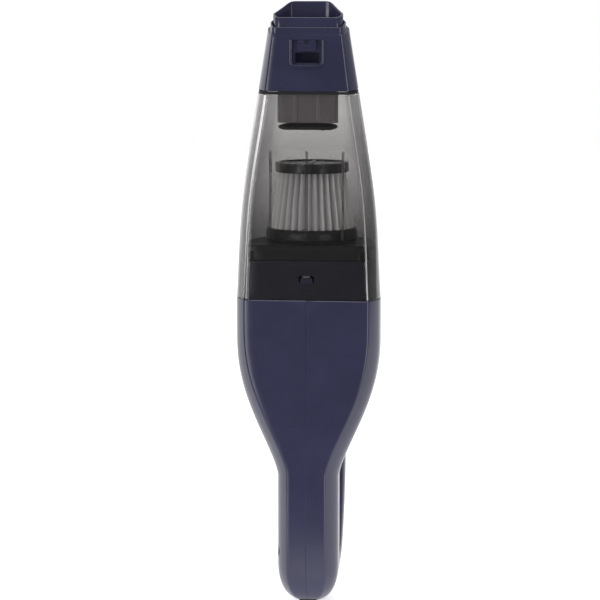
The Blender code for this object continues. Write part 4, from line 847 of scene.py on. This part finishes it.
def screwTree():
    tree, given, out = newTree("crossScrews", [
        ("Head Radius", "Float", 0.0027), ("Head Height", "Float", 0.0020),
        ("Shank Radius", "Float", 0.00125), ("Shank Length", "Float", 0.0187),
        ("Recess Reach", "Float", 0.0016), ("Recess Width", "Float", 0.0006),
        ("Recess Depth", "Float", 0.0010), ("Turn Seed", "Int", 7), ("Material", "Material", None)])
    nodes, link = tree.nodes, tree.links.new

    def tube(radius, top, depth, z):
        cone = nodes.new("GeometryNodeMeshCone")
        setInput(cone, "Vertices", 40)
        for label, value in (("Radius Bottom", radius), ("Radius Top", top), ("Depth", depth)):
            if isinstance(value, float):
                cone.inputs[label].default_value = value
            else:
                link(value, cone.inputs[label])
        move = nodes.new("GeometryNodeTransform")
        offset = nodes.new("ShaderNodeCombineXYZ")
        if isinstance(z, float):
            setInput(offset, "Z", z)
        else:
            link(z, offset.inputs["Z"])
        link(cone.outputs["Mesh"], move.inputs["Geometry"])
        link(offset.outputs[0], move.inputs["Translation"])
        return move.outputs["Geometry"]
    head, tall = given["Head Radius"], given["Head Height"]
    low = times(tree, tall, 0.7)
    high = times(tree, tall, 0.3)
    rim = times(tree, head, 0.82)
    union = nodes.new("GeometryNodeMeshBoolean")
    union.operation = "UNION"
    shankLow = minus(tree, 0.0002, given["Shank Length"])
    for piece in (tube(head, head, low, 0.0), tube(head, rim, high, low),
                  tube(given["Shank Radius"], given["Shank Radius"], given["Shank Length"], shankLow)):
        link(piece, union.inputs["Mesh 2"])
    cross = nodes.new("GeometryNodeMeshBoolean")
    cross.operation = "DIFFERENCE"
    link(union.outputs["Mesh"], cross.inputs["Mesh 1"])
    reach = times(tree, given["Recess Reach"], 2)
    thick = given["Recess Width"]
    deep = times(tree, given["Recess Depth"], 2)
    for x, y in ((reach, thick), (thick, reach)):
        size = nodes.new("ShaderNodeCombineXYZ")
        link(x, size.inputs["X"])
        link(y, size.inputs["Y"])
        link(deep, size.inputs["Z"])
        cube = nodes.new("GeometryNodeMeshCube")
        link(size.outputs[0], cube.inputs["Size"])
        move = nodes.new("GeometryNodeTransform")
        offset = nodes.new("ShaderNodeCombineXYZ")
        link(tall, offset.inputs["Z"])
        link(cube.outputs["Mesh"], move.inputs["Geometry"])
        link(offset.outputs[0], move.inputs["Translation"])
        link(move.outputs["Geometry"], cross.inputs["Mesh 2"])
    spin = nodes.new("FunctionNodeRandomValue")
    spin.data_type = "FLOAT"
    spin.inputs[3].default_value = 1.5
    link(given["Turn Seed"], spin.inputs["Seed"])
    turn = nodes.new("ShaderNodeCombineXYZ")
    link(spin.outputs[1], turn.inputs["Z"])
    copies = nodes.new("GeometryNodeInstanceOnPoints")
    link(given["Geometry"], copies.inputs["Points"])
    link(cross.outputs["Mesh"], copies.inputs["Instance"])
    link(turn.outputs[0], copies.inputs["Rotation"])
    endTree(tree, copies.outputs["Instances"], given, out)
    return tree


def makeScrews():
    # points lie in the (y, z) plane turned to (x, y), then the whole set is turned so that heads face -x
    seats = [Vector((z, y, 0)) for y, z in screwPlaces().values()]
    screws = treePiece("caseScrews", screwTree(), {"Material": steelLook}, seats)
    turn = Matrix(((0, 0, -1, screwSizes["seat"]), (0, 1, 0, 0), (1, 0, 0, 0), (0, 0, 0, 1)))
    screws.data.transform(turn)
    finishPiece(screws, steelLook, "body", ["screw_" + place for place in screwPlaces()], 30)
    print("screws made:", len(screws.data.polygons), "faces")


makeScrews()


deck = {"seal": 0.0021, "flange": 0.0042, "plug": 0.0075, "inset": 0.0026, "step": 0.004,
        "collarShelf": 0.0045, "spigot": 0.0236, "spigotWall": 0.0016}
fins = {"places": (-0.0265, 0, 0.0265), "half": 0.0008, "tall": 0.0036}
deckTop = highOf["filter_seal"].z - deck["seal"]
deckLow = deckTop - deck["flange"] - deck["plug"]
ringLow, ringHigh = lowOf["filter_ring"].z, highOf["filter_ring"].z
ringRadius = highOf["filter_ring"].x
pleatLow, capLow, capHigh = lowOf["filter_pleats"].z, lowOf["filter_cap"].z, highOf["filter_cap"].z
catch = {"start": 0.0117, "long": 0.0063, "half": 0.0064}


def roundedBar(name, half, low, high, radius, y0, y1, openTop=False):
    # along y, with round corners in x and z
    points = []
    corners = [(half, low, -90), (half, high, 0), (-half, high, 90), (-half, low, 180)]
    for x, z, start in corners:
        r = 0.0 if (openTop and z == high) else radius
        cx, cz = x - math.copysign(r, x), z + (r if z == low else -r)
        for i in range(7 if r else 1):
            a = math.radians(start + 90 * i / 6)
            points.append((cx + r * math.cos(a), cz + r * math.sin(a)))
    return loftPiece(name, [[Vector((x, y, z)) for x, z in points] for y in (y0, y1)])


def makeBin():
    wall = front["wall"]
    low, high = seamZ + rooms["gap"], nozzleZ - rooms["gap"]
    heights = [low, low + 0.0004] + shares(seamZ, high, 60)[1:-1] + [high - 0.0004, high]
    outer = frontRings(heights)
    outer[0] = frontRings([low], 0.0004)[0]
    outer[-1] = frontRings([high], 0.0004)[0]
    piece = tubePiece("dustBinClear", outer, frontRings(heights, wall))
    half = fins["half"]
    bars = []
    for x in fins["places"]:
        rings = []
        for z in (deckTop + 0.0045, capHigh + 0.010):
            root = frontSection(z)["near"] + wall - 0.0005
            tip = root + fins["tall"]
            outline = ((-half, root), (half, root), (half, tip - half / 2),
                       (half / 2, tip), (-half / 2, tip), (-half, tip - half / 2))
            rings.append([Vector((x + dx, y, z)) for dx, y in outline])
        bars.append(loftPiece("fin", rings))
    piece = combine(piece, bars, "UNION")
    near = casing["near"]
    start = seamZ + catch["start"]
    slot = roundedBar("slot", catch["half"], start, start + catch["long"], 0.0012, near - 0.01, near + 0.012)
    piece = combine(piece, [slot])
    finishPiece(piece, smokeClear, "bin", ["dust_bin"], 32)
    # the fins take the darker smoke copy: painted shade
    piece.data.materials.append(smokeDark)
    for face in piece.data.polygons:
        middle = face.center
        inner = frontSection(middle.z)["near"] + wall + 0.0002
        if inner < middle.y < inner + 0.006 and any(abs(middle.x - x) < 0.0012 for x in fins["places"]):
            face.material_index = 1
    print("bin made:", len(piece.data.polygons), "faces")


def makeBulkhead():
    low, shelf = seamZ - 0.008, deckLow - deck["collarShelf"]
    deep = 0.0028
    counts = {"farSteps": 24, "flareSteps": 8}

    def ring(z, depth):
        s = frontSection(z) if z > seamZ else bodySection(z)
        return sectionRing(insetSection(s, depth), z, **counts)
    outer = [ring(z, deep) for z in [low, seamZ - 0.001, seamZ + 0.0015] + shares(seamZ + 0.003, deckLow, 10)]
    inner = [ring(z, deep + 0.002) for z in (low, seamZ, seamZ + 0.01, shelf)]
    inner += [ring(z, deep + 0.008) for z in (shelf, deckLow)]
    while len(inner) < len(outer):
        inner.insert(3, inner[3])
    piece = loftPiece("sealCollar", outer + inner[::-1], closed=True)
    half = controls["buttonHalf"] + controls["buttonPlate"] + 0.0012
    notch = boxPiece("notch", (-half, casing["barrelFar"] - 0.014, low - 0.01),
                     (half, casing["barrelFar"] + 0.01, seamZ + 0.012))
    near, start = casing["near"], seamZ + catch["start"]
    end = start + catch["long"]
    way = roundedBar("way", catch["half"] - 0.0008, start + 0.0012, end - 0.0004, 0.0006, near - 0.01,
                     near + 0.012)
    finger = roundedBar("finger", catch["half"] - 0.0020, start - 0.0010, end - 0.0018, 0.0004, near - 0.02,
                        near + 0.02)
    piece = combine(piece, [notch, combine(way, [finger])])
    # the collar takes the darker navy copy as painted shade
    finishPiece(piece, shadedNavyLook, "body", ["bulkhead"], 32)


def makeDeck():
    low, step, depth = deckLow + rooms["gap"], deckTop - deck["flange"], deck["inset"]
    rings = [sectionRing(insetSection(frontSection(z), d), z) for z, d in (
        (low, depth + deck["step"]), (step, depth + deck["step"]), (step, depth), (deckTop - 0.0005, depth),
        (deckTop, depth + 0.0005))]
    plate = loftPiece("filterDeck", rings)
    radius = deck["spigot"]
    spigot = barPiece("spigot", (0, axisY, deckTop - 0.001), (0, axisY, ringHigh - 0.002), radius, 96,
                      soft=0.0004)
    bore = barPiece("bore", (0, axisY, low - 0.01), (0, axisY, deckTop + 0.03), radius - deck["spigotWall"],
                    96)
    plate = combine(combine(plate, [spigot], "UNION"), [bore])
    finishPiece(plate, blackLook, "body", ["filter_deck"], 32)


filterSizes = {"pleats": 32, "pleatDepth": 0.0040, "paper": 0.0006, "taper": 0.0063, "seed": 4,
               "ripple": 0.00008}


def pleatTree():  # a grid rolled into a ring, folded, then thickened
    tree, given, out = newTree("foldedPaper", [
        ("Pleats", "Int", 32), ("Radius", "Float", 0.03), ("Depth", "Float", 0.004),
        ("Taper", "Float", 0.006), ("Height", "Float", 0.04), ("Paper", "Float", 0.0006),
        ("Ripple", "Float", 0.0002), ("Seed", "Int", 4), ("Centre", "Vector", (0, 0, 0)),
        ("Material", "Material", None)])
    nodes, link = tree.nodes, tree.links.new
    grid = nodes.new("GeometryNodeMeshGrid")
    setInput(grid, "Size X", 1)
    setInput(grid, "Size Y", 1)
    setInput(grid, "Vertices Y", 22)
    link(addMath(tree, "ADD", times(tree, given["Pleats"], 12), 1), grid.inputs["Vertices X"])
    place = nodes.new("GeometryNodeInputPosition")
    split = nodes.new("ShaderNodeSeparateXYZ")
    link(place.outputs[0], split.inputs[0])
    u = addMath(tree, "ADD", split.outputs["X"], 0.5)
    v = addMath(tree, "ADD", split.outputs["Y"], 0.5)
    angle = times(tree, u, 2 * math.pi)
    phase = addMath(tree, "FRACT", times(tree, u, given["Pleats"]))
    fold = addMath(tree, "ABSOLUTE", minus(tree, times(tree, phase, 2), 1))
    smooth = times(tree, times(tree, fold, fold), minus(tree, 3, times(tree, fold, 2)))
    fold = addMath(tree, "ADD", times(tree, fold, 0.55), times(tree, smooth, 0.45))
    radius = minus(tree, given["Radius"], times(tree, given["Taper"], v))
    radius = minus(tree, radius, times(tree, given["Depth"], minus(tree, 1, fold)))
    # a slow wave that closes on itself, for hand-folded paper
    wave = nodes.new("ShaderNodeTexNoise")
    wave.noise_dimensions = "4D"
    setInput(wave, "Scale", 2.2)
    roundX, roundY = addMath(tree, "COSINE", angle), addMath(tree, "SINE", angle)
    where = nodes.new("ShaderNodeCombineXYZ")
    link(roundX, where.inputs["X"])
    link(roundY, where.inputs["Y"])
    link(times(tree, v, 0.6), where.inputs["Z"])
    link(where.outputs[0], wave.inputs["Vector"])
    link(given["Seed"], wave.inputs["W"])
    edge = times(tree, times(tree, v, minus(tree, 1, v)), 4)
    shake = times(tree, minus(tree, wave.outputs["Fac"], 0.62), given["Ripple"])
    radius = addMath(tree, "ADD", radius, times(tree, times(tree, shake, 4), edge))
    turn = addMath(tree, "ADD", angle,
                   times(tree, times(tree, minus(tree, wave.outputs["Fac"], 0.5), edge), 0.05))
    made = nodes.new("ShaderNodeCombineXYZ")
    link(times(tree, radius, addMath(tree, "COSINE", turn)), made.inputs["X"])
    link(times(tree, radius, addMath(tree, "SINE", turn)), made.inputs["Y"])
    link(times(tree, v, given["Height"]), made.inputs["Z"])
    shift = nodes.new("ShaderNodeVectorMath")
    link(made.outputs[0], shift.inputs[0])
    link(given["Centre"], shift.inputs[1])
    bend = nodes.new("GeometryNodeSetPosition")
    link(grid.outputs["Mesh"], bend.inputs["Geometry"])
    link(shift.outputs[0], bend.inputs["Position"])
    weld = nodes.new("GeometryNodeMergeByDistance")
    setInput(weld, "Distance", 1e-6)
    keep = nodes.new("GeometryNodeStoreNamedAttribute")
    keep.data_type = "FLOAT"
    keep.domain = "POINT"
    setInput(keep, "Name", "fold")
    link(bend.outputs["Geometry"], keep.inputs["Geometry"])
    hold = nodes.new("GeometryNodeCaptureAttribute")
    hold.capture_items.new("FLOAT", "Fold")
    link(grid.outputs["Mesh"], hold.inputs["Geometry"])
    link(fold, hold.inputs["Fold"])
    link(hold.outputs["Geometry"], bend.inputs["Geometry"])
    link(hold.outputs["Fold"], keep.inputs["Value"])
    link(keep.outputs["Geometry"], weld.inputs["Geometry"])
    flip = nodes.new("GeometryNodeFlipFaces")
    link(weld.outputs["Geometry"], flip.inputs["Mesh"])
    push = nodes.new("GeometryNodeExtrudeMesh")
    push.mode = "FACES"
    setInput(push, "Individual", False)
    link(flip.outputs["Mesh"], push.inputs["Mesh"])
    link(given["Paper"], push.inputs["Offset Scale"])
    both = nodes.new("GeometryNodeJoinGeometry")
    link(push.outputs["Mesh"], both.inputs["Geometry"])
    link(weld.outputs["Geometry"], both.inputs["Geometry"])
    close = nodes.new("GeometryNodeMergeByDistance")
    setInput(close, "Distance", 1e-6)
    link(both.outputs["Geometry"], close.inputs["Geometry"])
    endTree(tree, close.outputs["Geometry"], given, out)
    return tree


def makeFilter():
    s = filterSizes
    pleatRadius = ringRadius - 0.0025
    paper = treePiece("filterPaper", pleatTree(), {
        "Pleats": s["pleats"], "Radius": pleatRadius, "Depth": s["pleatDepth"], "Taper": s["taper"],
        "Height": capLow - 0.0003 - pleatLow, "Paper": s["paper"], "Ripple": s["ripple"], "Seed": s["seed"],
        "Centre": (0, axisY, pleatLow), "Material": paperWhite})
    tidy = bmesh.new()
    tidy.from_mesh(paper.data)
    bmesh.ops.recalc_face_normals(tidy, faces=tidy.faces)
    tidy.to_mesh(paper.data)
    tidy.free()
    finishPiece(paper, paperWhite, "filter", ["filter_pleats"], 60)

    bore = deck["spigot"] + rooms["slide"]
    ring = turnedPiece("filterRing", [
        (bore, ringLow), (ringRadius - 0.0005, ringLow), (ringRadius, ringLow + 0.0005),
        (ringRadius, ringHigh - 0.0025),
        (ringRadius - 0.0003, ringHigh - 0.0018), (ringRadius - 0.0010, ringHigh), (bore + 0.0004, ringHigh),
        (bore, ringHigh - 0.0004)], axisY)
    finishPiece(ring, blackLook, "filter", ["filter_ring"])
    low, high = lowOf["filter_seal"].z, highOf["filter_seal"].z
    outer = highOf["filter_seal"].x
    seal = turnedPiece("filterSeal", [
        (bore, low), (outer - 0.0005, low), (outer, low + 0.0006), (outer, high - 0.0006),
        (outer - 0.0005, high), (bore, high)], axisY)
    finishPiece(seal, rubberLook, "filter", ["filter_seal"])
    radius = highOf["filter_cap"].x
    profile = [
        (radius - 0.0003, capLow), (radius, capLow + 0.0003), (radius, capHigh - 0.0009),
        (radius - 0.0002, capHigh - 0.0003), (radius - 0.0008, capHigh), (radius - 0.0030, capHigh),
        (radius - 0.0034, capHigh - 0.0003), (radius - 0.0038, capHigh - 0.0010)]
    cap = loftPiece("filterCap", [turnedRing(r, z, axisY, 128) for r, z in profile])
    grip = boxPiece("grip", (-0.0016, axisY - radius + 0.006, capHigh - 0.002),
                    (0.0016, axisY + radius - 0.006, capHigh), soft=0.0004)
    finishPiece(combine(cap, [grip], "UNION"), capLook, "filter", ["filter_cap"], 30)


makeBin()
makeBulkhead()
makeDeck()
makeFilter()
print("bin foot and filter made")


def mouthSection(depth=0.0, chamfer=None):
    f = front
    near = casing["near"] + f["draw"] + f["setBack"]
    return makeSection(f["mouthFace"] - depth, f["mouthHalf"] - depth, near + depth, near + 0.0075,
                       near + f["mouthDepth"] - depth, f["chamfer"] if chamfer is None else chamfer, 1.0,
                       f["mouthFarHalf"] - 0.6 * depth)


snap = {"start": 0.0215, "long": 0.018, "half": 0.0105, "rim": 0.0020, "rimHeight": 0.0016, "corner": 0.0030,
        "tabLong": 0.0075, "tabHalf": 0.0066}


def makeSeal():
    low, high = nozzleZ, nozzleZ + front["seal"]
    heights = [low, low + 0.0005, high - 0.0005, high]
    outer = [frontRings([z], d)[0] for z, d in zip(heights, (0.0007, 0.0003, 0.0003, 0.0007))]
    piece = tubePiece("nozzleSealBand", outer, frontRings(heights, 0.0026))
    finishPiece(piece, rubberLook, "bin", ["nozzle_seal"])


def snapRim():  # a round bead swept along the U of the snap slot
    half, r = snap["half"] + 0.0003 + 0.5 * snap["rim"], snap["corner"] + 0.5 * snap["rim"]
    low = nozzleZ + snap["start"] - 0.5 * snap["rim"]
    high = nozzleZ + snap["start"] + snap["long"] - 0.0002
    path = [(-half, z) for z in shares(high, low + r, 6)]
    path += [(-half + r - r * math.cos(a), low + r - r * math.sin(a))
             for a in (math.radians(90 * i / 10) for i in range(1, 11))]
    path += [(-x, z) for x, z in path[::-1]]
    rings = []
    for i, (x, z) in enumerate(path):
        ahead = Vector(path[min(i + 1, len(path) - 1)]) - Vector(path[max(i - 1, 0)])
        side = Vector((ahead.y, -ahead.x)).normalized() * (0.5 * snap["rim"])
        near = frontSection(z)["near"]
        top, foot = near - snap["rimHeight"] + 0.0004, near + 0.0016
        profile = [(-1, foot), (-1, top + 0.0006), (-0.85, top + 0.0002), (-0.5, top), (0.5, top),
                   (0.85, top + 0.0002), (1, top + 0.0006), (1, foot)]
        rings.append([Vector((x + side.x * k, y, z + side.y * k)) for k, y in profile])
    return loftPiece("snapRim", rings)


def makeNozzle():
    f = front
    low = nozzleZ + front["seal"] + rooms["gap"]
    mainTop = rimZ - 0.0010
    rimRise = frontRise(rimZ)
    heights = [low, low + 0.0004] + shares(low, mainTop, 24)[1:]
    outer = frontRings(heights)
    outer[0] = frontRings([low], 0.0004)[0]
    lip = {**mouthSection(-f["room"], 0.0036), "near": casing["near"] + f["draw"] + 0.0006}
    outer.append(sectionRing(insetSection(lip, -0.0002), rimZ - 0.0002, rimRise))
    outer.append(sectionRing(lip, rimZ + 0.0012, rimRise))
    outer.append(sectionRing(lip, rimZ + f["rimHeight"] - 0.0005, rimRise))
    outer.append(sectionRing(insetSection(lip, 0.0004), rimZ + f["rimHeight"], rimRise))
    inner = frontRings(heights[:-1], f["nozzleWall"])
    neck = mouthSection(-0.0007, 0.0022)
    for z in (mainTop - 0.0005, mainTop, rimZ + 0.001, rimZ + f["rimHeight"] - 0.0003):
        inner.append(sectionRing(neck, z, rimRise))
    inner.append(sectionRing(insetSection(neck, -0.0003), rimZ + f["rimHeight"], rimRise))
    shell = tubePiece("nozzleCasing", outer, inner)
    near = frontSection(nozzleZ + 0.5 * f["length"])["near"]
    start = nozzleZ + snap["start"]
    hole = roundedBar("hole", snap["half"], start, start + snap["long"], snap["corner"], near - 0.01,
                      near + 0.0042, True)
    shell = combine(combine(shell, [snapRim()], "UNION"), [hole])
    finishPiece(shell, navyLook, "bin", ["nozzle_shell"], 34)
    print("nozzle made:", len(shell.data.polygons), "faces")


def makeMouth():
    f = front
    start = nozzleZ + f["collarStart"]
    places = [(start, 0)] + [(start + (rimZ - nozzleZ - f["collarStart"]) * i / 8, f["mouthRise"] * i / 8)
                             for i in range(1, 9)]
    places += [(lipZ - 0.0006, f["mouthRise"]), (lipZ - 0.0002, f["mouthRise"]), (lipZ, f["mouthRise"])]
    depths = [0] * (len(places) - 2) + [0.0002, 0.0006]
    outer = [sectionRing(mouthSection(d), z, rise) for d, (z, rise) in zip(depths, places)]
    inner = [sectionRing(mouthSection(0.0015 - 0.6 * d), z, rise) for d, (z, rise) in zip(depths, places)]
    collar = tubePiece("mouthCollarTube", outer, inner)
    near = mouthSection()["near"]
    high = nozzleZ + snap["start"] + snap["long"] - 0.0004
    low = high - snap["tabLong"]
    tab = roundedBar("tab", snap["tabHalf"], low, high, 0.0012, near - 0.0022, near + 0.0006)
    vee = ((-0.0024, high + 0.0004), (0, high - 0.0034), (0.0024, high + 0.0004))
    notch = loftPiece("notch", [[Vector((x, y, z)) for x, z in vee] for y in (near - 0.004, near - 0.0009)])
    lower = roundedBar("lower", 0.0052, low + 0.0014, high - 0.0014, 0.0008, near - 0.0035, near - 0.0018)
    tab = combine(tab, [lower, notch])
    window = roundedBar("window", snap["half"] - 0.0017, nozzleZ + snap["start"] + 0.0013, low - 0.0012,
                        0.0010, near - 0.01, near + 0.006)
    collar = combine(combine(collar, [tab], "UNION"), [window])
    finishPiece(collar, navyLook, "bin", ["mouth_collar"], 34)


makeSeal()
makeNozzle()
makeMouth()
print("nozzle and mouth made")


duct = {"face": 0.0212, "farHalf": 0.0175, "deep": 0.0185, "wall": 0.0015, "near": 0.0078, "drop": 0.0205}
ductEnd = nozzleZ - duct["drop"]
flap = {"pin": 0.0008, "hole": 0.0011, "droop": 8, "pinOut": 0.0006, "pinDrop": 0.0024}


def ductSection(depth=0.0):
    near = casing["near"] + duct["near"]
    return makeSection(duct["face"] - depth, duct["face"] + 0.0010 - depth, near + depth, near + 0.006,
                       near + duct["deep"] - depth, 0.003, 1.0, duct["farHalf"] - 0.6 * depth)


def makeDuct():
    top = nozzleZ + front["collarStart"] - rooms["gap"]
    tube = loftPiece("inletDuct", [sectionRing(insetSection(ductSection(), d), z) for z, d in (
        (ductEnd, 0.0003), (ductEnd + 0.0004, 0), (top, 0))])
    low = nozzleZ + front["seal"] + 2 * rooms["gap"]
    plate = loftPiece("plate", frontRings([low, low + 0.0018], front["nozzleWall"] + 0.0003))
    near, far = ductSection()["near"], ductSection()["far"]
    ribs = [boxPiece("rib", (x - 0.0018, near - 0.0006, ductEnd + 0.0002),
                     (x + 0.0018, near + 0.001, nozzleZ - 0.001), soft=0.0003)
            for x in (-0.0085, 0.0085)]
    ears = [boxPiece("ear", (x - 0.001, far - 0.002, ductEnd - 0.0042),
                     (x + 0.001, far + 0.0024, ductEnd + 0.004), soft=0.0003)
            for x in (-0.0125, 0.0125)]
    bore = loftPiece("bore",
                     [sectionRing(ductSection(duct["wall"]), z) for z in (ductEnd - 0.001, top + 0.001)])
    y, z = far + flap["pinOut"], ductEnd - flap["pinDrop"]
    pinHole = barPiece("pinHole", (-0.03, y, z), (0.03, y, z), flap["hole"], 32)
    piece = combine(combine(tube, [plate] + ribs + ears, "UNION"), [bore, pinHole])
    finishPiece(piece, ductLook, "bin", ["inlet_duct"], 30)


def makeFlap():
    y, z = ductSection()["far"] + flap["pinOut"], ductEnd - flap["pinDrop"]
    half, long = duct["face"] + 0.0008, y - ductSection(-0.0002)["near"]
    corners = [(-half + 0.004, -long), (half - 0.004, -long), (half, -long + 0.005), (half - 0.001, -0.0078),
               (half - 0.004, -0.0046), (-half + 0.004, -0.0046), (-half + 0.001, -0.0078),
               (-half, -long + 0.005)]
    outline = []
    for i, corner in enumerate(corners):
        back, ahead = Vector(corners[i - 1]), Vector(corners[(i + 1) % len(corners)])
        here = Vector(corner)
        start = here + (back - here).normalized() * min(0.0016, 0.4 * (back - here).length)
        end = here + (ahead - here).normalized() * min(0.0016, 0.4 * (ahead - here).length)
        outline += [curved(start, here, end, t / 5) for t in range(6)]
    droop = Matrix.Translation((0, y, z)) @ Matrix.Rotation(math.radians(flap["droop"]), 4, "X")

    def ring(height, grow):
        return [droop @ Vector((px * grow, py, height)) for px, py in outline]
    plate = loftPiece("inletFlap",
                      [ring(0, 0.94), ring(0.0003, 0.965), ring(0.0012, 1.0), ring(0.0017, 0.99),
                       ring(0.0022, 0.9)])
    barrel = barPiece("barrel", (-0.0110, y, z), (0.0110, y, z), 0.0019, 40, soft=0.0003)
    web = boxPiece("web", (-0.0110, -0.0060, -0.0012), (0.0110, -0.0004, 0.0015), droop)
    nub = boxPiece("nub", (0.010, -long + 0.001, -0.0006), (0.0124, -long + 0.003, 0.0008), droop, 0.0003)
    hole = barPiece("hole", (-0.03, y, z), (0.03, y, z), flap["hole"], 32)
    piece = combine(combine(plate, [barrel, web, nub], "UNION"), [hole])
    finishPiece(piece, flapLook, "flap", ["inlet_flap"], 40)
    pin = barPiece("flapPin", (-0.0142, y, z), (0.0142, y, z), flap["pin"], 40, soft=0.0002)
    finishPiece(pin, steelLook, "bin", ["flap_pin"], 30)


makeDuct()
makeFlap()
print("duct and flap made")


# the inner parts keep the frame's shapes and only get their finishes
innerLooks = {
    "battery_cell_1": wrapLook, "battery_cell_2": wrapLook, "battery_cell_3": wrapLook,
    "battery_cradle": nylonLook, "circuit_board": boardGreen, "motor_can": steelLook,
    "motor_shaft": steelLook, "motor_boot": rubberLook, "motor_plate": blackLook,
    "fan_housing": blackLook, "impeller": nylonLook, "motor_lead_red": redLook,
    "motor_lead_black": blackLook, "intake_grille": blackLook, "switch_unit": blackLook,
    "filter_cage": blackLook,
}
for name, look in innerLooks.items():
    node = bpy.data.objects[name]
    for slot in node.material_slots:
        slot.material = look
print("inner parts finished")


studio = {"azimuth": 6.5, "elevation": 7.5, "distance": 1.8, "lens": 144.8, "side": -0.0090,
          "middle": (0, 0.012, 0.2258), "floorRadius": 2.6, "floorCentre": (0, 2.36, 0), "floorGlow": 0.6,
          "leftGlow": 0.5, "rightShade": 0.6}
lamps = (("keyLight", (-0.86, -1.30, 0.32), 0.42, 1.3, 8), ("fillLight", (0.98, -1.22, 0.28), 0.42, 1.3, 5.5),
         ("topLight", (0.1, -0.6, 1.5), 0.8, 0.6, 4))  # name, place, width, height, power


def makeFloor():
    def build(shape):
        bmesh.ops.create_circle(shape, cap_ends=True, segments=96, radius=studio["floorRadius"],
                                matrix=Matrix.Translation(studio["floorCentre"]))
    floor = shapePiece("floor", build, False)
    look, tree, shader, _ = newLook("paleFloor")
    speck = addNoise(tree, 30, 4, 0.6)
    setInput(shader, "Base Color",
             addMix(tree, addRange(tree, speck, 0.3, 0.7, 0, 1), (0.86, 0.86, 0.86), (0.90, 0.90, 0.90)))
    setInput(shader, "Roughness", 0.9)
    setInput(shader, "Emission Color", (1, 1, 1, 1))
    setInput(shader, "Emission Strength", studio["floorGlow"])
    floor.data.materials.append(look)


def makeWorld():
    world = bpy.data.worlds.new("studio")
    bpy.context.scene.world = world
    world.use_nodes = True
    tree = world.node_tree
    tree.nodes.clear()
    coord = tree.nodes.new("ShaderNodeTexCoord")
    split = tree.nodes.new("ShaderNodeSeparateXYZ")
    setInput(split, 0, coord.outputs["Generated"])
    behind = addRange(tree, split.outputs["Y"], -0.15, 0.45, 0, 1)
    left = addRange(tree, split.outputs["X"], -0.25, -0.62, 0, 1)
    right = addRange(tree, split.outputs["X"], 0.35, 0.75, 0, 1)
    above = addRange(tree, split.outputs["Z"], 0.45, 0.9, 0, 0.7)
    glow = addMath(tree, "ADD", 1.0, times(tree, left, studio["leftGlow"]))
    glow = minus(tree, glow, times(tree, right, studio["rightShade"]))
    light = addMath(tree, "ADD", times(tree, glow, behind), 0.14)
    light = addMath(tree, "MAXIMUM", light, above)
    path = tree.nodes.new("ShaderNodeLightPath")
    studioLight = tree.nodes.new("ShaderNodeBackground")
    setInput(studioLight, "Color", (1, 1, 1, 1))
    setInput(studioLight, "Strength", light)
    white = tree.nodes.new("ShaderNodeBackground")
    setInput(white, "Color", (1, 1, 1, 1))
    setInput(white, "Strength", 1.0)
    mix = tree.nodes.new("ShaderNodeMixShader")
    out = tree.nodes.new("ShaderNodeOutputWorld")
    setInput(mix, 0, path.outputs["Is Camera Ray"])
    setInput(mix, 1, studioLight.outputs[0])
    setInput(mix, 2, white.outputs[0])
    setInput(out, 0, mix.outputs[0])


def makeLights():
    centre = Vector((0, 0, 0.24))
    for name, place, width, tall, power in lamps:
        data = bpy.data.lights.new(name, "AREA")
        data.shape = "RECTANGLE"
        data.size, data.size_y, data.energy = width, tall, power
        light = bpy.data.objects.new(name, data)
        bpy.context.scene.collection.objects.link(light)
        light.location = place
        light.rotation_euler = (centre - Vector(place)).to_track_quat("-Z", "Y").to_euler()


def makeCamera():
    a, e = math.radians(studio["azimuth"]), math.radians(studio["elevation"])
    back = Vector((math.sin(a) * math.cos(e), -math.cos(a) * math.cos(e), math.sin(e)))
    right = Vector((math.cos(a), math.sin(a), 0))
    data = bpy.data.cameras.new("camera")
    data.lens, data.sensor_width, data.clip_start = studio["lens"], 36, 0.05
    camera = bpy.data.objects.new("camera", data)
    bpy.context.scene.collection.objects.link(camera)
    camera.location = Vector(studio["middle"]) + right * studio["side"] + back * studio["distance"]
    camera.rotation_euler = (-back).to_track_quat("-Z", "Y").to_euler()
    bpy.context.scene.camera = camera


makeFloor()
makeWorld()
makeLights()
makeCamera()
bpy.context.scene.view_settings.view_transform = "Standard"
print("studio set")
